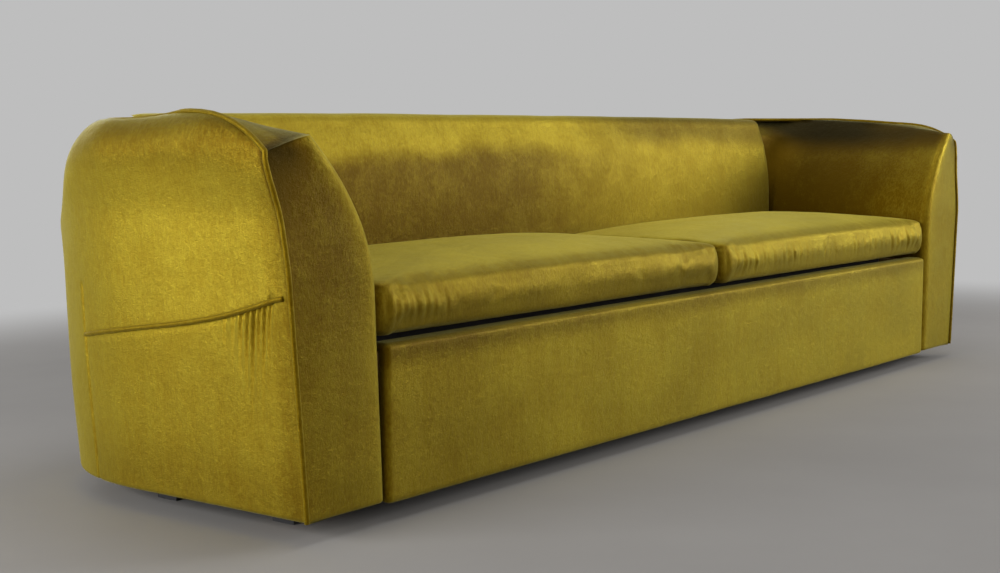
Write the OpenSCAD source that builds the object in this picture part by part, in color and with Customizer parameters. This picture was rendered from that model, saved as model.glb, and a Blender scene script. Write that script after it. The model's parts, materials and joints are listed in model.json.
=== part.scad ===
// Low velvet sofa bed. The seat lifts and unfolds in three sections over the front rail.
// Origin: middle of the footprint, on the floor. +X to the right seen from the front, -Y the front, +Z up.

/* [Body] */
// Width across the arms at the bottom
body_w = 2700; // [2400:10:3000]
// Height of the upholstery, from its underside to the crest
body_h = 659; // [630:1:690]
// Depth of the base, front face to back face
body_d = 770; // [760:1:820]
// Gap between the floor and the upholstery
floor_gap = 36; // [25:1:60]
// Thickness of an arm at its bottom
arm_w = 194; // [185:1:220]
// How far the sides lean out towards the top
side_flare = 54; // [30:1:70]
// Extra swell of the sides just below the crest
top_flare = 18; // [5:1:25]
// How far the inside of an arm rolls outwards to the crest
arm_roll = 190; // [150:1:200]
// Outer corner of the back, measured along the width
corner_w = 300; // [240:1:340]
// Place where the side begins to turn into the back
corner_y = 400; // [380:1:420]
// How far the front of the crest drops towards the outer edge of an arm
nose_drop = 83; // [60:1:100]
// Length of arm over which the crest rises again
nose_len = 260; // [200:1:320]
// How far the upper outer edge of an arm's front leans back
nose_back = 21; // [0:1:30]
// Inset of the crest from the swollen side of an arm
side_inset = 52; // [40:1:60]
// Inset of the crest from the swollen back
back_inset = 165; // [120:1:180]

/* [Seat] */
// Height of the front rail above the underside
rail_h = 270; // [262:1:272]
// Thickness of the padded front rail with its board
rail_t = 45; // [40:1:48]
// How far the front rail hangs below the arms
rail_drop = 6; // [0:1:12]
// Thickness of a seat cushion at its edge
cushion_t = 86; // [70:1:100]
// Crown of a seat cushion above its edge
cushion_crown = 24; // [10:1:35]
// Gap between the two seat cushions
cushion_gap = 4; // [2:1:12]
// Thickness of the back, from the front of its pad to the rear at the base
back_t = 284; // [270:1:285]
// How far the back pad leans back at its top
pad_lean = 46; // [30:1:55]

/* [Bed] */
// Room between a bed section and the end wall of the base, for the lift arms
bed_side_gap = 52; // [52:1:80]
// Front edge of the folded sections
section_y = 100; // [99:1:103]
// Thickness of the foam on a section
mattress_t = 65; // [50:1:66]
// Outside size of the frame tube
tube = 20; // [16:1:22]
// Rise of the inner section when the bed is open
rise = 272; // [266:1:276]
// Radius of the pivot pins
pin_r = 4; // [3:0.5:4]

/* [Hidden] */
$fn = 40;
velvet = "#a8932c";
velvet_deep = "#8a741c";
timber = "#c9a468";
steel = "#5a5d61";
bright = "#b9bcc0";
foam = "#e6e2d6";
black = "#202124";

// Clearances
fit = 0.3;
run = 0.05;
slack = 0.4;
reveal = 3;
over = 1;

// Shell shape
half_w = body_w / 2;
inside_x = half_w - arm_w;
corner_cx = half_w - corner_w;
corner_d = body_d - corner_y;
back_end_x = corner_cx - 50;
knee_share = 0.53;
knee_out = 15;
knee_h = knee_share * body_h;
roll_power = 2;
swell_shares = [0.73, 0.93];
side_shoulder_share = 0.11;
back_shoulder_share = 0.30;
side_round = 2;
back_round = 1.5;
turn_angle = 46;
crest_fall = 3;
corner_fall = 9;
fall_start = 230;
ridge_share = 0.944;
ridge_len = 160;
ridge_crown = 7;
lean_shares = [0.6, 0.895];
lean_power = 1.3;
nose_power = 3;
nose_spread = 0.3;
crown_share = 0.4;
crown_up = 2;
pad_y = body_d - back_t;
ledge_h = 303;
ledge_step = 1;
pad_base_t = 59;
wall_y = pad_y + pad_base_t;
back_shell_t = 51.7;
hollow_y = body_d - back_shell_t;
wall_top_share = 0.91;
wall_inset = 10;
wall_power = 1.5;
end_x = inside_x - 4;
crest_x = half_w + side_flare + top_flare - side_inset;
crest_y = body_d + side_flare + top_flare - back_inset;
ledge_share = ledge_h / body_h;
step_share = ledge_step / body_h;
top_share = 0.985;
in_shares = [0, ledge_share, ledge_share + step_share, 0.577, 0.684, 0.76, 0.828, 0.889, 0.935, 0.965,
             top_share];
out_shares = [1, 0.985, 0.962, 0.93, 0.89, 0.84, 0.76, 0.66, 0.52, 0.36, 0.18, 0];
arm_slice_shares = [0, 0.02, 0.06, 0.12, 0.2, 0.31, 0.45, 0.62, 0.8, 1];
turn_angles = [for (i = [1 : 9]) i * 10];

// Timber and base
board_t = 20;
frame_t = 35;
board_lift = 1.5;
board_h = 262.5;
arm_frame_x = half_w - 65;
arm_frame_front = 50;
arm_frame_behind = 100;
arm_frame_len = corner_y + arm_frame_behind - arm_frame_front;
frame_crest_gap = 119;
arm_frame_h = body_h - frame_crest_gap;
arm_plate_t = 18;
rail_w = 60;
back_frame_t = 28;
back_frame_y = hollow_y - fit - back_frame_t;
back_frame_h = body_h - frame_crest_gap;
back_frame_x = back_end_x - 10;
back_posts = 9;
post_w = 40;
dust_t = 1.5;
foot_r = 18;
arm_foot_r = 25;
arm_foot_y = 120;
arm_foot_behind = 40;
arm_foot_back_y = corner_y + arm_foot_behind;
foot_y = 130;
foot_plate_w = 100;
foot_plate_t = 12;
foot_places = [-half_w / 2, 0, half_w / 2];
rail_pad_t = 5.7;
rail_round = 12;
panel_x = inside_x - reveal;
board_y = rail_t - board_t;
side_board_x = end_x - 1 - board_t;

// Welt
welt_r = 4.5;
welt_out = 1.5;
welt_sides = 8;
pocket_r = 4;
pocket_back_y = 536;
pocket_back_h = 268;
pocket_front_y = 39;
pocket_front_h = 361;
pocket_steps = 14;
edge_shares = [0, 0.1, 0.22, 0.36, 0.5, 0.64, 0.76, 0.86, 0.94];

// Back pad
pad_half = end_x - 2;
pad_low = ledge_h;
pad_lean_power = 2.8;
pad_hip_share = 0.59;
pad_top_h = body_h + 5;
pad_lift = 2.2;
pad_lip_gap = 4;
pad_top_round = 24;
pad_steps = 12;
pad_cut_w = 72;
pad_cut_d = 33;

// Folded stack, heights from the floor
stack_z = 53;
deck_t = 2;
stack_gap = 2;
skin_gap = 1;
hinge_gap = 2.5;
fold_gap = 0.5;
pad_gap = 6;
section_d = pad_y - pad_gap - section_y;
bed_half = end_x - bed_side_gap;
bed_w = 2 * bed_half;
bed_back_y = section_y + section_d;
inner_deck_z = stack_z + tube;
inner_foam_z = inner_deck_z + deck_t;
axis_z = inner_foam_z + mattress_t + stack_gap / 2;
axis_y = section_y - hinge_gap;
middle_foam_z = axis_z + skin_gap;
middle_deck_z = middle_foam_z + mattress_t;
middle_tube_z = middle_deck_z + deck_t;
fold_z = middle_tube_z + tube + fold_gap;
fold_y = bed_back_y + hinge_gap;
foot_tube_z = fold_z + fold_gap;
foot_deck_z = foot_tube_z + tube;
foot_foam_z = foot_deck_z + deck_t;
foot_top_z = foot_foam_z + mattress_t;
cushion_z = foot_top_z + fit;
foam_inset = 4;
deck_inset = 2;
foam_round = 30;
bay_bars = 8;
middle_frame_start = 90;

// Hinges and arms
ear_t = 4;
ear_gap = 1;
ear_r = 10;
swing_ear_r = 8;
pin_head_r = 7;
pin_head_t = 2;
plate_t = 5;
arm_bar_w = 20;
arm_front_y = 125;
arm_front_z = 75;
tie_up = 45;
ear_inner_x = bed_half;
ear_outer_x = ear_inner_x + ear_t + ear_gap;
arm_bar_x = ear_outer_x + ear_t + 8;
plate_x = arm_bar_x + plate_t + 4;
plate_behind = 44;
plate_gap = 6.1;
arm_rear_y = hollow_y - plate_gap - plate_behind;
arm_run = arm_rear_y - arm_front_y;
half_angle = atan(rise / 2 / arm_run);
arm_l = norm([arm_run, rise / 2]);
arm_rear_z = arm_front_z + rise / 2;
plate_front = 43;
plate_low = 31;
plate_high = 34;
bolt_r = 3;
bolt_head_r = 6;
bolt_head_t = 3;
bolt_l = 18;
bolt_inset = 10;
collar_t = 4;
ear_foot_front = 9;
ear_foot_back = 42;
swing_start = 100;
swing_end = 130;
swing_v = 84;
swing_neck = [5.1, 6.1];
swing_low = [8, -2];
fold_ear_len = 25;
fold_ear_rise = 7;
foot_ear_front = 50;
foot_ear_back = 30;

// Legs
leg_w = 16;
leg_h = 18;
leg_t = 12;
tip_l = 10;
middle_leg_share = 6 / 11;
middle_leg_x = bed_half * middle_leg_share;
leg_clear = 2;
leg_axis_back = 11;
foot_leg_x = bed_half - 12;
foot_bar_inset = 14;
leg_z = foot_tube_z + tube / 2;
leg_floor_gap = 3;
open_lift = rise - 2 * (fold_z - axis_z);
leg_l = leg_z + open_lift - leg_floor_gap - tip_l;
tab_w = 40;
tab_t = 10;
tab_drop = 2;

// Cushions
cushion_corner = 26;
cushion_draw = 5;
cushion_swell = 5;
cushion_front = 6;
cushion_behind = 4;
cushion_d = pad_y - cushion_behind - cushion_front;
arm_clear = 5;
cushion_end = inside_x + knee_out - arm_clear;
corner_steps = 4;
side_steps = 9;
end_steps = 4;
low_rings_share = [0.55, 0.93];
side_rings_share = [0, 0.12, 0.35, 0.65, 0.88, 1];
top_rings_share = [0.985, 0.95, 0.88, 0.76, 0.58, 0.36, 0.14];
crown_power = 2.6;

// Placing the sofa over the middle of its footprint
function clamp01(t) = min(1, max(0, t));
function smooth(a, b, v) = let (t = clamp01((v - a) / (b - a))) t * t * (3 - 2 * t);
function mix(a, b, t) = a + (b - a) * t;
function flare(u) = side_flare * max(u, 0) / body_h
    + top_flare * smooth(swell_shares[0] * body_h, swell_shares[1] * body_h, u);
function shoulder(q, inset, round_power) =
    inset * (1 - pow(1 - pow(clamp01(q), round_power), 1 / round_power));
function deepest(i) =
    i < len(out_shares) ? max(turn_point(90, out_shares[i] * body_h)[1], deepest(i + 1)) : 0;

// Inside face of an arm at height u
function inside_at(u) = inside_x + knee_out * min(u, knee_h) / knee_h
    + arm_roll * pow(max(0, u - knee_h) / (body_h - knee_h), roll_power);
// Inside wall of the back at height u, hollow below the ledge
function wall_at(u) = u <= ledge_h ? hollow_y
    : wall_y + (crest_y - wall_inset - wall_y)
        * pow(max(0, u / body_h - wall_top_share) / (1 - wall_top_share), wall_power);

// Front edge of an arm: slice y bends back towards the top by this much at height u
function lean_at(u) =
    nose_back * pow(clamp01((u / body_h - lean_shares[0]) / (lean_shares[1] - lean_shares[0])), lean_power);
function slice_y(y, u) = y + lean_at(u) * (1 - y / corner_y);
// Crest line of an arm: height and place at distance y from the front
function nose_at(y) = pow(max(0, 1 - y / nose_len), nose_power);
function crest_h_at(y) = body_h - nose_drop * nose_at(y) - corner_fall * smooth(fall_start, corner_y, y);
function crest_x_at(y) = mix(crest_x, half_w + flare(body_h - nose_drop), pow(nose_at(y), nose_spread));

// Outside of an arm in slice y, from the bottom (share 0) to the crest (share 1)
function side_point(y, share) =
    let (crest_y = slice_y(y, body_h), top = crest_h_at(crest_y), start = top - side_shoulder_share * body_h,
         inset = half_w + flare(top) - crest_x_at(crest_y), u = share * top)
    [half_w + flare(u) - shoulder((u - start) / (top - start), inset, side_round), slice_y(y, u), u];

// Outside of the corner and back at turn angle a and height u
function turn_normal(a) = let (n = [cos(a) / corner_w, sin(a) / corner_d]) n / norm(n);
function turn_point(a, u) =
    let (w = smooth(0, turn_angle, a), top = turn_top(a),
         start = top - mix(side_shoulder_share, back_shoulder_share, w) * body_h,
         inset = mix(side_inset, back_inset, w), n = turn_normal(a),
         out = flare(u) - shoulder((u - start) / (top - start), inset, mix(side_round, back_round, w)))
    [corner_cx + corner_w * cos(a) + n[0] * out, corner_y + corner_d * sin(a) + n[1] * out, u];
function turn_top(a) = body_h - mix(corner_fall, crest_fall, smooth(turn_angle, 90, a));
function low_point(y, u) =
    y <= corner_y ? [half_w + flare(u), y, u] : turn_point(asin((y - corner_y) / corner_d), u);

y_mid = deepest(0) / 2;

// Ridge on top of an arm's front: full at the front, gone where it meets the crest
function ridge_at(y) = 1 - clamp01(y / ridge_len);
function in_share(s, y) = s - max(0, s - in_shares[3]) / (top_share - in_shares[3])
    * (top_share - ridge_share) * ridge_at(y);

// One closed ring of the shell: up the inside, over the crest, down the outside
function crown(a, b, w) = let (c = [mix(a[0], b[0], crown_share), mix(a[1], b[1], crown_share),
    mix(max(a[2], b[2]) + crown_up, mix(a[2], b[2], crown_share) + ridge_crown, w)])
    [for (t = [1/3, 2/3, 0.9]) a * pow(1 - t, 2) + c * 2 * t * (1 - t) + b * pow(t, 2)];
function arm_ring(y) =
    let (inner = [for (s = in_shares) let (u = in_share(s, y) * body_h) [inside_at(u), y, u]],
         outer = [for (s = out_shares) side_point(y, s)],
         a = inner[len(inner) - 1])
    concat(inner, crown(a, outer[0], ridge_at(y)), outer);
function turn_inner(a, u) = [end_x + (inside_at(u) - end_x) * cos(a),
                             corner_y + (wall_at(u) - corner_y) * sin(a), u];
function turn_ring(a) =
    let (inner = [for (s = in_shares) turn_inner(a, s * body_h)],
         outer = [for (s = out_shares) turn_point(a, s * turn_top(a))],
         b = inner[len(inner) - 1])
    concat(inner, crown(b, outer[0], 0), outer);
function back_ring() = [for (p = turn_ring(90)) [back_end_x, p[1], p[2]]];
arm_rings = concat([for (s = arm_slice_shares) arm_ring(s * corner_y)],
                   [for (a = turn_angles) turn_ring(a)], [back_ring()]);

// Closed solid through rings with equal numbers of points; the ends are laced straight across
module lace(rings) {
    n = len(rings[0]);
    m = len(rings);
    walls = [for (i = [0 : m - 2], j = [0 : n - 1], k = [0, 1])
        let (a = i * n + j, b = i * n + (j + 1) % n)
        k == 0 ? [a, b, b + n] : [a, b + n, a + n]];
    first = [for (j = [0 : n / 2 - 2], k = [0, 1])
        k == 0 ? [j, n - 2 - j, j + 1] : [j, n - 1 - j, n - 2 - j]];
    last = [for (f = first) [for (i = [2, 1, 0]) f[i] + (m - 1) * n]];
    polyhedron([for (r = rings) each r], concat(walls, first, last), convexity = 8);
}

// Round tube through points; each point has a side direction that steers the seam
module tube_along(points, sides, r) {
    n = len(points);
    function dir(i) = let (d = points[min(i + 1, n - 1)] - points[max(i - 1, 0)]) d / norm(d);
    function across(i) = let (t = dir(i), c = sides[i] - (sides[i] * t) * t) c / norm(c);
    rings = [for (i = [0 : n - 1]) let (t = dir(i), a = across(i), b = cross(t, a))
        [for (k = [0 : welt_sides - 1]) let (g = (k + 0.5) * 360 / welt_sides)
            points[i] + a * r * cos(g) + b * r * sin(g)]];
    lace(rings);
}

module on_body() translate([0, -y_mid, floor_gap]) children();
module on_floor() translate([0, -y_mid, 0]) children();
module both_sides() {
    children();
    mirror([1, 0, 0]) children();
}
// Profile drawn as (depth, height), extruded along the width
module along_x(x0, x1) translate([x0, 0, 0]) rotate([90, 0, 90]) linear_extrude(x1 - x0) children();
module pin_x(x0, x1, y, z, r) translate([x0, y, z]) rotate([0, 90, 0]) cylinder(h = x1 - x0, r = r);
module head_x(x0, x1, y, z, r) translate([x0, y, z]) rotate([0, 90, 0]) cylinder(h = x1 - x0, r = r, $fn = 6);
module box(x0, x1, y0, y1, z0, z1) translate([x0, y0, z0]) cube([x1 - x0, y1 - y0, z1 - z0]);

// Padded arm with its corner, hollowed for the timber
module arm_cover() {
    color(velvet) on_body() difference() {
        lace(arm_rings);
        box(arm_frame_x - fit, arm_frame_x + frame_t + fit, arm_frame_front - fit,
            arm_frame_front + arm_frame_len + fit, -over, arm_frame_h + fit);
        box(end_x - over - board_t, arm_frame_x, arm_frame_front - fit,
            arm_frame_front + arm_frame_len + fit, -over, arm_plate_t + fit);
    }
}
module arm_cover_right() arm_cover();
module arm_cover_left() mirror([1, 0, 0]) arm_cover();

// Middle of the back, between the corners
module back_cover() {
    outer = [for (s = out_shares) let (p = turn_point(90, s * turn_top(90))) [p[1], p[2]]];
    inner = [for (i = [2 : len(in_shares) - 1]) [wall_at(in_shares[i] * body_h), in_shares[i] * body_h]];
    ring = turn_ring(90);
    top = [for (i = [len(in_shares) : len(in_shares) + 2]) [ring[i][1], ring[i][2]]];
    slot = [[hollow_y, 0], [hollow_y, back_frame_h + fit], [back_frame_y - fit, back_frame_h + fit],
            [back_frame_y - fit, ledge_h], [wall_y, ledge_h]];
    color(velvet) on_body() along_x(-back_end_x, back_end_x) polygon(concat(slot, inner, top, outer));
}

function pad_front(u) = pad_y + pad_lean
    * pow(clamp01((u / body_h - pad_hip_share) / (1 - pad_hip_share)), pad_lean_power);
// Tight inside back pad, rolling over the top to the welt
module back_pad() {
    roll_h = pad_top_h - pad_top_round;
    front = [for (i = [0 : pad_steps]) let (u = mix(pad_low, roll_h, i / pad_steps)) [pad_front(u), u]];
    roll = [for (a = [15 : 15 : 90]) [pad_front(roll_h) + pad_top_round * (1 - cos(a)),
                                      roll_h + pad_top_round * sin(a)]];
    back = [for (i = [len(in_shares) - 1 : -1 : 3])
        [wall_at(in_shares[i] * body_h) - fit, in_shares[i] * body_h + pad_lift]];
    lip_y = crest_y - wall_inset;
    lip = [[lip_y, pad_top_h - crown_up], [lip_y, body_h - crest_fall + pad_lip_gap]];
    color(velvet) on_body() difference() {
        along_x(-pad_half, pad_half) polygon(concat(front, roll, lip, back, [[wall_y - fit, pad_low]]));
        both_sides() translate([pad_half, lip_y, pad_low]) linear_extrude(body_h)
            polygon([[-pad_cut_w, 0], [over, -pad_cut_d], [over, over], [-pad_cut_w, over]]);
    }
}

// Padded front rail
module front_panel() {
    corner = [for (a = [180 : -15 : 90]) [rail_round + rail_round * cos(a),
                                          rail_h - rail_round + rail_round * sin(a)]];
    color(velvet) on_body() along_x(-panel_x, panel_x)
        polygon(concat([[0, -rail_drop]], corner, [[rail_t, rail_h], [rail_t, rail_h - rail_pad_t],
                        [board_y - fit, rail_h - rail_pad_t], [board_y - fit, -rail_drop]]));
}

// Piping along the front edges, the arms and the back
front_edge = [for (s = edge_shares) side_point(0, s) + [welt_out, -welt_out, 0]];
arm_edge = [for (s = arm_slice_shares) let (p = side_point(s * corner_y, 1))
    p + [welt_out, -welt_out * nose_at(p[1]), welt_out]];
turn_edge = [for (a = turn_angles) turn_point(a, turn_top(a)) + [0, 0, welt_out]];
welt_half = concat(front_edge, arm_edge, turn_edge, [[back_end_x, turn_point(90, turn_top(90))[1],
                                                     turn_top(90) + welt_out]]);
welt_steer = concat([for (p = front_edge) [1, -1, 0]], [for (p = arm_edge) [1, -0.3, 0.2]],
                    [for (a = turn_angles) [cos(a), sin(a), 0]], [[0, 1, 0]]);
function flip(list) = [for (i = [len(list) - 1 : -1 : 0]) [-list[i][0], list[i][1], list[i][2]]];
module welt() {
    color(velvet_deep) on_body()
        tube_along(concat(welt_half, flip(welt_half)), concat(welt_steer, flip(welt_steer)), welt_r);
}
// Slanted welted pocket seam on the left outer side
module pocket_welt() {
    path = [for (i = [0 : pocket_steps]) let (t = i / pocket_steps,
        p = low_point(mix(pocket_front_y, pocket_back_y, t), mix(pocket_front_h, pocket_back_h, t)))
        [-p[0] - welt_out, p[1], p[2]]];
    color(velvet_deep) on_body() tube_along(path, [for (p = path) [0, 0, 1]], pocket_r);
}

// Timber ladder in each arm, on a bottom plate
module arm_frame() {
    x1 = arm_frame_x + frame_t;
    y1 = arm_frame_front + arm_frame_len;
    posts = 3;
    color(timber) on_body() {
        box(end_x - over + fit, x1, arm_frame_front, y1, 0, arm_plate_t);
        box(arm_frame_x, x1, arm_frame_front, y1, 0, rail_w);
        box(arm_frame_x, x1, arm_frame_front, y1, arm_frame_h - rail_w, arm_frame_h);
        box(arm_frame_x, x1, arm_frame_front, y1, rail_h, rail_h + rail_w);
        for (i = [0 : posts - 1])
            translate([0, i * (arm_frame_len - post_w) / (posts - 1), 0])
                box(arm_frame_x, x1, arm_frame_front, arm_frame_front + post_w, 0, arm_frame_h);
    }
}
module arm_frame_right() arm_frame();
module arm_frame_left() mirror([1, 0, 0]) arm_frame();

module back_frame() {
    y1 = back_frame_y + back_frame_t;
    pitch = (2 * back_frame_x - post_w) / (back_posts - 1);
    color(timber) on_body() {
        box(-side_board_x, side_board_x, back_frame_y, y1, board_lift, rail_w);
        box(-back_frame_x, back_frame_x, back_frame_y, y1, back_frame_h - rail_w, back_frame_h);
        box(-back_frame_x, back_frame_x, back_frame_y, y1, rail_h, rail_h + rail_w);
        for (i = [0 : back_posts - 1])
            box(-back_frame_x + i * pitch, -back_frame_x + i * pitch + post_w, back_frame_y, y1,
                board_lift, back_frame_h);
    }
}
// Front board of the base, with three flat plates behind it that the middle feet are screwed to
module front_board() {
    color(timber) on_body() union() {
        box(-end_x + over, end_x - over, board_y, rail_t, board_lift, board_lift + board_h);
        for (x = foot_places)
            box(x - foot_plate_w / 2, x + foot_plate_w / 2, rail_t - over, foot_y + foot_plate_w / 2,
                board_lift, board_lift + foot_plate_t);
    }
}
module side_board() {
    color(timber) on_body() difference() {
        box(side_board_x, side_board_x + board_t, rail_t, hollow_y - fit, board_lift, board_lift + board_h);
        translate([0, 0, -floor_gap]) bolt_places() pin_x(side_board_x - over, side_board_x + bolt_l + over,
                                                         0, 0, bolt_r + run);
    }
}
module side_board_right() side_board();
module side_board_left() mirror([1, 0, 0]) side_board();
module dust_cover()
    color(black) on_body() box(-end_x + over, end_x - over, board_y, hollow_y - fit, 0, dust_t);

// Square blocks under the base and the arms
module feet() {
    arm_foot_x = (end_x + arm_frame_x + frame_t) / 2;
    color(black) on_floor() {
        for (x = foot_places, y = [foot_y, back_frame_y + back_frame_t / 2])
            box(x - foot_r, x + foot_r, y - foot_r, y + foot_r, 0, floor_gap);
        both_sides() for (y = [arm_foot_y + arm_foot_r, arm_foot_back_y])
            box(arm_foot_x - arm_foot_r, arm_foot_x + arm_foot_r,
                y - arm_foot_r, y + arm_foot_r, 0, floor_gap);
    }
}

// Mechanism side plates, their bolts and the rear pins of the arms
module bolt_places() {
    for (p = [[arm_rear_y + plate_behind - bolt_inset, arm_rear_z - plate_low + bolt_inset],
              [arm_rear_y + plate_behind - bolt_inset, arm_rear_z + tie_up + plate_high - bolt_inset],
              [arm_rear_y - plate_front + bolt_inset, arm_rear_z - plate_low + bolt_inset]])
        translate([0, p[0], p[1]]) children();
}
module side_plates() {
    color(steel) on_floor() both_sides() difference() {
        box(plate_x, plate_x + plate_t, arm_rear_y - plate_front, arm_rear_y + plate_behind,
            arm_rear_z - plate_low, arm_rear_z + tie_up + plate_high);
        bolt_places() pin_x(plate_x - over, plate_x + plate_t + over, 0, 0, bolt_r + run);
    }
}
module plate_bolts() {
    color(bright) on_floor() both_sides() bolt_places() {
        head_x(plate_x - bolt_head_t, plate_x, 0, 0, bolt_head_r);
        translate([plate_x, 0, 0]) rotate([0, 90, 0])
            cylinder(h = side_board_x + bolt_l - plate_x, r = bolt_r, $fn = 12);
    }
}
module rear_pins() {
    color(bright) on_floor() both_sides() for (z = [arm_rear_z, arm_rear_z + tie_up]) {
        pin_x(arm_bar_x - fit, plate_x, arm_rear_y, z, pin_r);
        head_x(arm_bar_x - fit - pin_head_t, arm_bar_x - fit, arm_rear_y, z, pin_head_r);
    }
}

// Flat steel arm between two pins
module arm_bar(up, front_bore) {
    y0 = arm_front_y;
    z0 = arm_front_z + up;
    color(steel) on_floor() both_sides() translate([arm_bar_x, y0, z0]) rotate([half_angle, 0, 0])
        rotate([90, 0, 90]) linear_extrude(plate_t) difference() {
            union() {
                translate([0, -arm_bar_w / 2]) square([arm_l, arm_bar_w]);
                circle(r = arm_bar_w / 2);
                translate([arm_l, 0]) circle(r = arm_bar_w / 2);
            }
            circle(r = front_bore);
            translate([arm_l, 0]) circle(r = pin_r + run);
        }
}
module lift_arms() arm_bar(0, pin_r + run);
module tie_arms() arm_bar(tie_up, pin_r + slack);

// Welded tube grid of a bed section
module grid(y0, y1, z0, x_places) {
    box(-bed_half, bed_half, y0, y0 + tube, z0, z0 + tube);
    box(-bed_half, bed_half, y1 - tube, y1, z0, z0 + tube);
    for (x = x_places) box(x - tube / 2, x + tube / 2, y0, y1, z0, z0 + tube);
}
grid_places = [for (i = [0 : bay_bars + 1]) (i / (bay_bars + 1) - 0.5) * (bed_w - tube)];
module foam_block(y0, y1, z0) {
    x1 = bed_half - foam_inset;
    color(foam) on_floor() translate([0, 0, z0]) linear_extrude(mattress_t) union() {
        translate([-x1 + foam_round, y0]) square([2 * (x1 - foam_round), y1 - y0]);
        translate([-x1, y0 + foam_round]) square([2 * x1, y1 - y0 - 2 * foam_round]);
        for (x = [-x1 + foam_round, x1 - foam_round], y = [y0 + foam_round, y1 - foam_round])
            translate([x, y]) circle(r = foam_round);
    }
}

// Inner section: stays level, carries the main hinge
module inner_frame() {
    y0 = axis_y - ear_foot_front;
    y1 = axis_y + ear_foot_back;
    color(steel) on_floor() {
        grid(section_y, bed_back_y, stack_z, grid_places);
        both_sides() along_x(ear_inner_x, ear_inner_x + ear_t) union() {
            translate([axis_y, axis_z]) circle(r = ear_r);
            polygon([[y0, stack_z], [y1, stack_z], [y1, axis_z - ear_r],
                     [axis_y, axis_z + ear_r], [y0, axis_z]]);
        }
    }
}
module inner_deck()
    color(black) on_floor() box(-bed_half + deck_inset, bed_half - deck_inset, section_y + deck_inset,
                                bed_back_y - deck_inset, inner_deck_z, inner_foam_z);
module inner_mattress() foam_block(section_y, bed_back_y, inner_foam_z);
module arm_pins() {
    x1 = arm_bar_x + plate_t + fit;
    color(bright) on_floor() both_sides() for (z = [arm_front_z, arm_front_z + tie_up]) {
        pin_x(ear_inner_x + ear_t, x1, arm_front_y, z, pin_r);
        head_x(arm_bar_x - fit - collar_t, arm_bar_x - fit, arm_front_y, z, pin_head_r);
        head_x(x1, x1 + pin_head_t, arm_front_y, z, pin_head_r);
    }
}
// Stud with a head that holds an outer ear
module ear_stud(y, z) {
    x1 = ear_outer_x + ear_t + fit;
    pin_x(ear_inner_x + ear_t, x1, y, z, pin_r);
    head_x(x1, x1 + pin_head_t, y, z, pin_head_r);
}
module main_hinge_pins() color(bright) on_floor() both_sides() ear_stud(axis_y, axis_z);

// Middle section: lies upside down when folded, its near edge cut at an angle
module middle_frame() {
    y0 = axis_y + middle_frame_start;
    color(steel) on_floor() {
        grid(y0, bed_back_y, middle_tube_z, grid_places);
        both_sides() {
            box(ear_inner_x, ear_outer_x, axis_y + swing_start, axis_y + swing_end,
                middle_tube_z, axis_z + swing_v);
            along_x(ear_outer_x, ear_outer_x + ear_t) difference() {
                translate([axis_y, axis_z]) union() {
                    circle(r = swing_ear_r);
                    polygon([[-swing_neck[0], swing_neck[1]], [swing_start, swing_v], [swing_end, swing_v],
                             [swing_end, middle_tube_z - axis_z], swing_low]);
                }
                translate([axis_y, axis_z]) circle(r = pin_r + run);
            }
            along_x(ear_inner_x, ear_inner_x + ear_t) union() {
                translate([fold_y, fold_z]) circle(r = swing_ear_r);
                polygon([[bed_back_y - fold_ear_len, middle_tube_z], [bed_back_y, middle_tube_z],
                         [fold_y + fold_ear_rise, fold_z - fold_ear_rise / 2], [fold_y, fold_z + swing_ear_r],
                         [bed_back_y - fold_ear_rise, fold_z],
                         [bed_back_y - fold_ear_len, fold_z - fold_gap]]);
            }
        }
    }
}
module middle_deck()
    color(black) on_floor() box(-bed_half + deck_inset, bed_half - deck_inset,
                                axis_y + middle_frame_start - tube, bed_back_y - deck_inset,
                                middle_deck_z, middle_tube_z);
module middle_mattress() {
    x1 = bed_half - foam_inset;
    color(foam) on_floor() along_x(-x1, x1)
        polygon([[section_y, middle_foam_z], [bed_back_y, middle_foam_z], [bed_back_y, middle_deck_z],
                 [section_y + mattress_t, middle_deck_z]]);
}
module fold_hinge_pins() color(bright) on_floor() both_sides() ear_stud(fold_y, fold_z);

// Foot section: stays level, carries the legs and the seat cushions
module foot_frame() {
    y0 = section_y + foot_bar_inset;
    gap = leg_w / 2 + leg_clear;
    color(steel) on_floor() {
        difference() {
            grid(y0, bed_back_y, foot_tube_z, concat(grid_places, [for (s = [-1, 1], t = [-1, 1])
                s * middle_leg_x + t * (gap + tube / 2)]));
            both_sides() box(middle_leg_x - gap, middle_leg_x + gap, y0 + tube, bed_back_y + over,
                             foot_tube_z - over, foot_deck_z + over);
        }
        both_sides() {
            box(ear_inner_x, ear_outer_x, bed_back_y - foot_ear_front, bed_back_y - foot_ear_back,
                foot_tube_z, foot_deck_z);
            along_x(ear_outer_x, ear_outer_x + ear_t) difference() {
                union() {
                    translate([fold_y, fold_z]) circle(r = swing_ear_r);
                    polygon([[bed_back_y - foot_ear_front, foot_tube_z], [fold_y, fold_z - swing_ear_r],
                             [fold_y + fold_ear_rise, fold_z + fold_ear_rise / 2],
                             [bed_back_y - foot_ear_back, foot_deck_z],
                             [bed_back_y - foot_ear_front, foot_deck_z]]);
                }
                translate([fold_y, fold_z]) circle(r = pin_r + run);
            }
        }
    }
}
module foot_deck()
    color(black) on_floor() box(-bed_half + deck_inset, bed_half - deck_inset, section_y + foot_bar_inset,
                                bed_back_y - deck_inset, foot_deck_z, foot_foam_z);
module foot_mattress() foam_block(section_y, bed_back_y, foot_foam_z);

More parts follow.
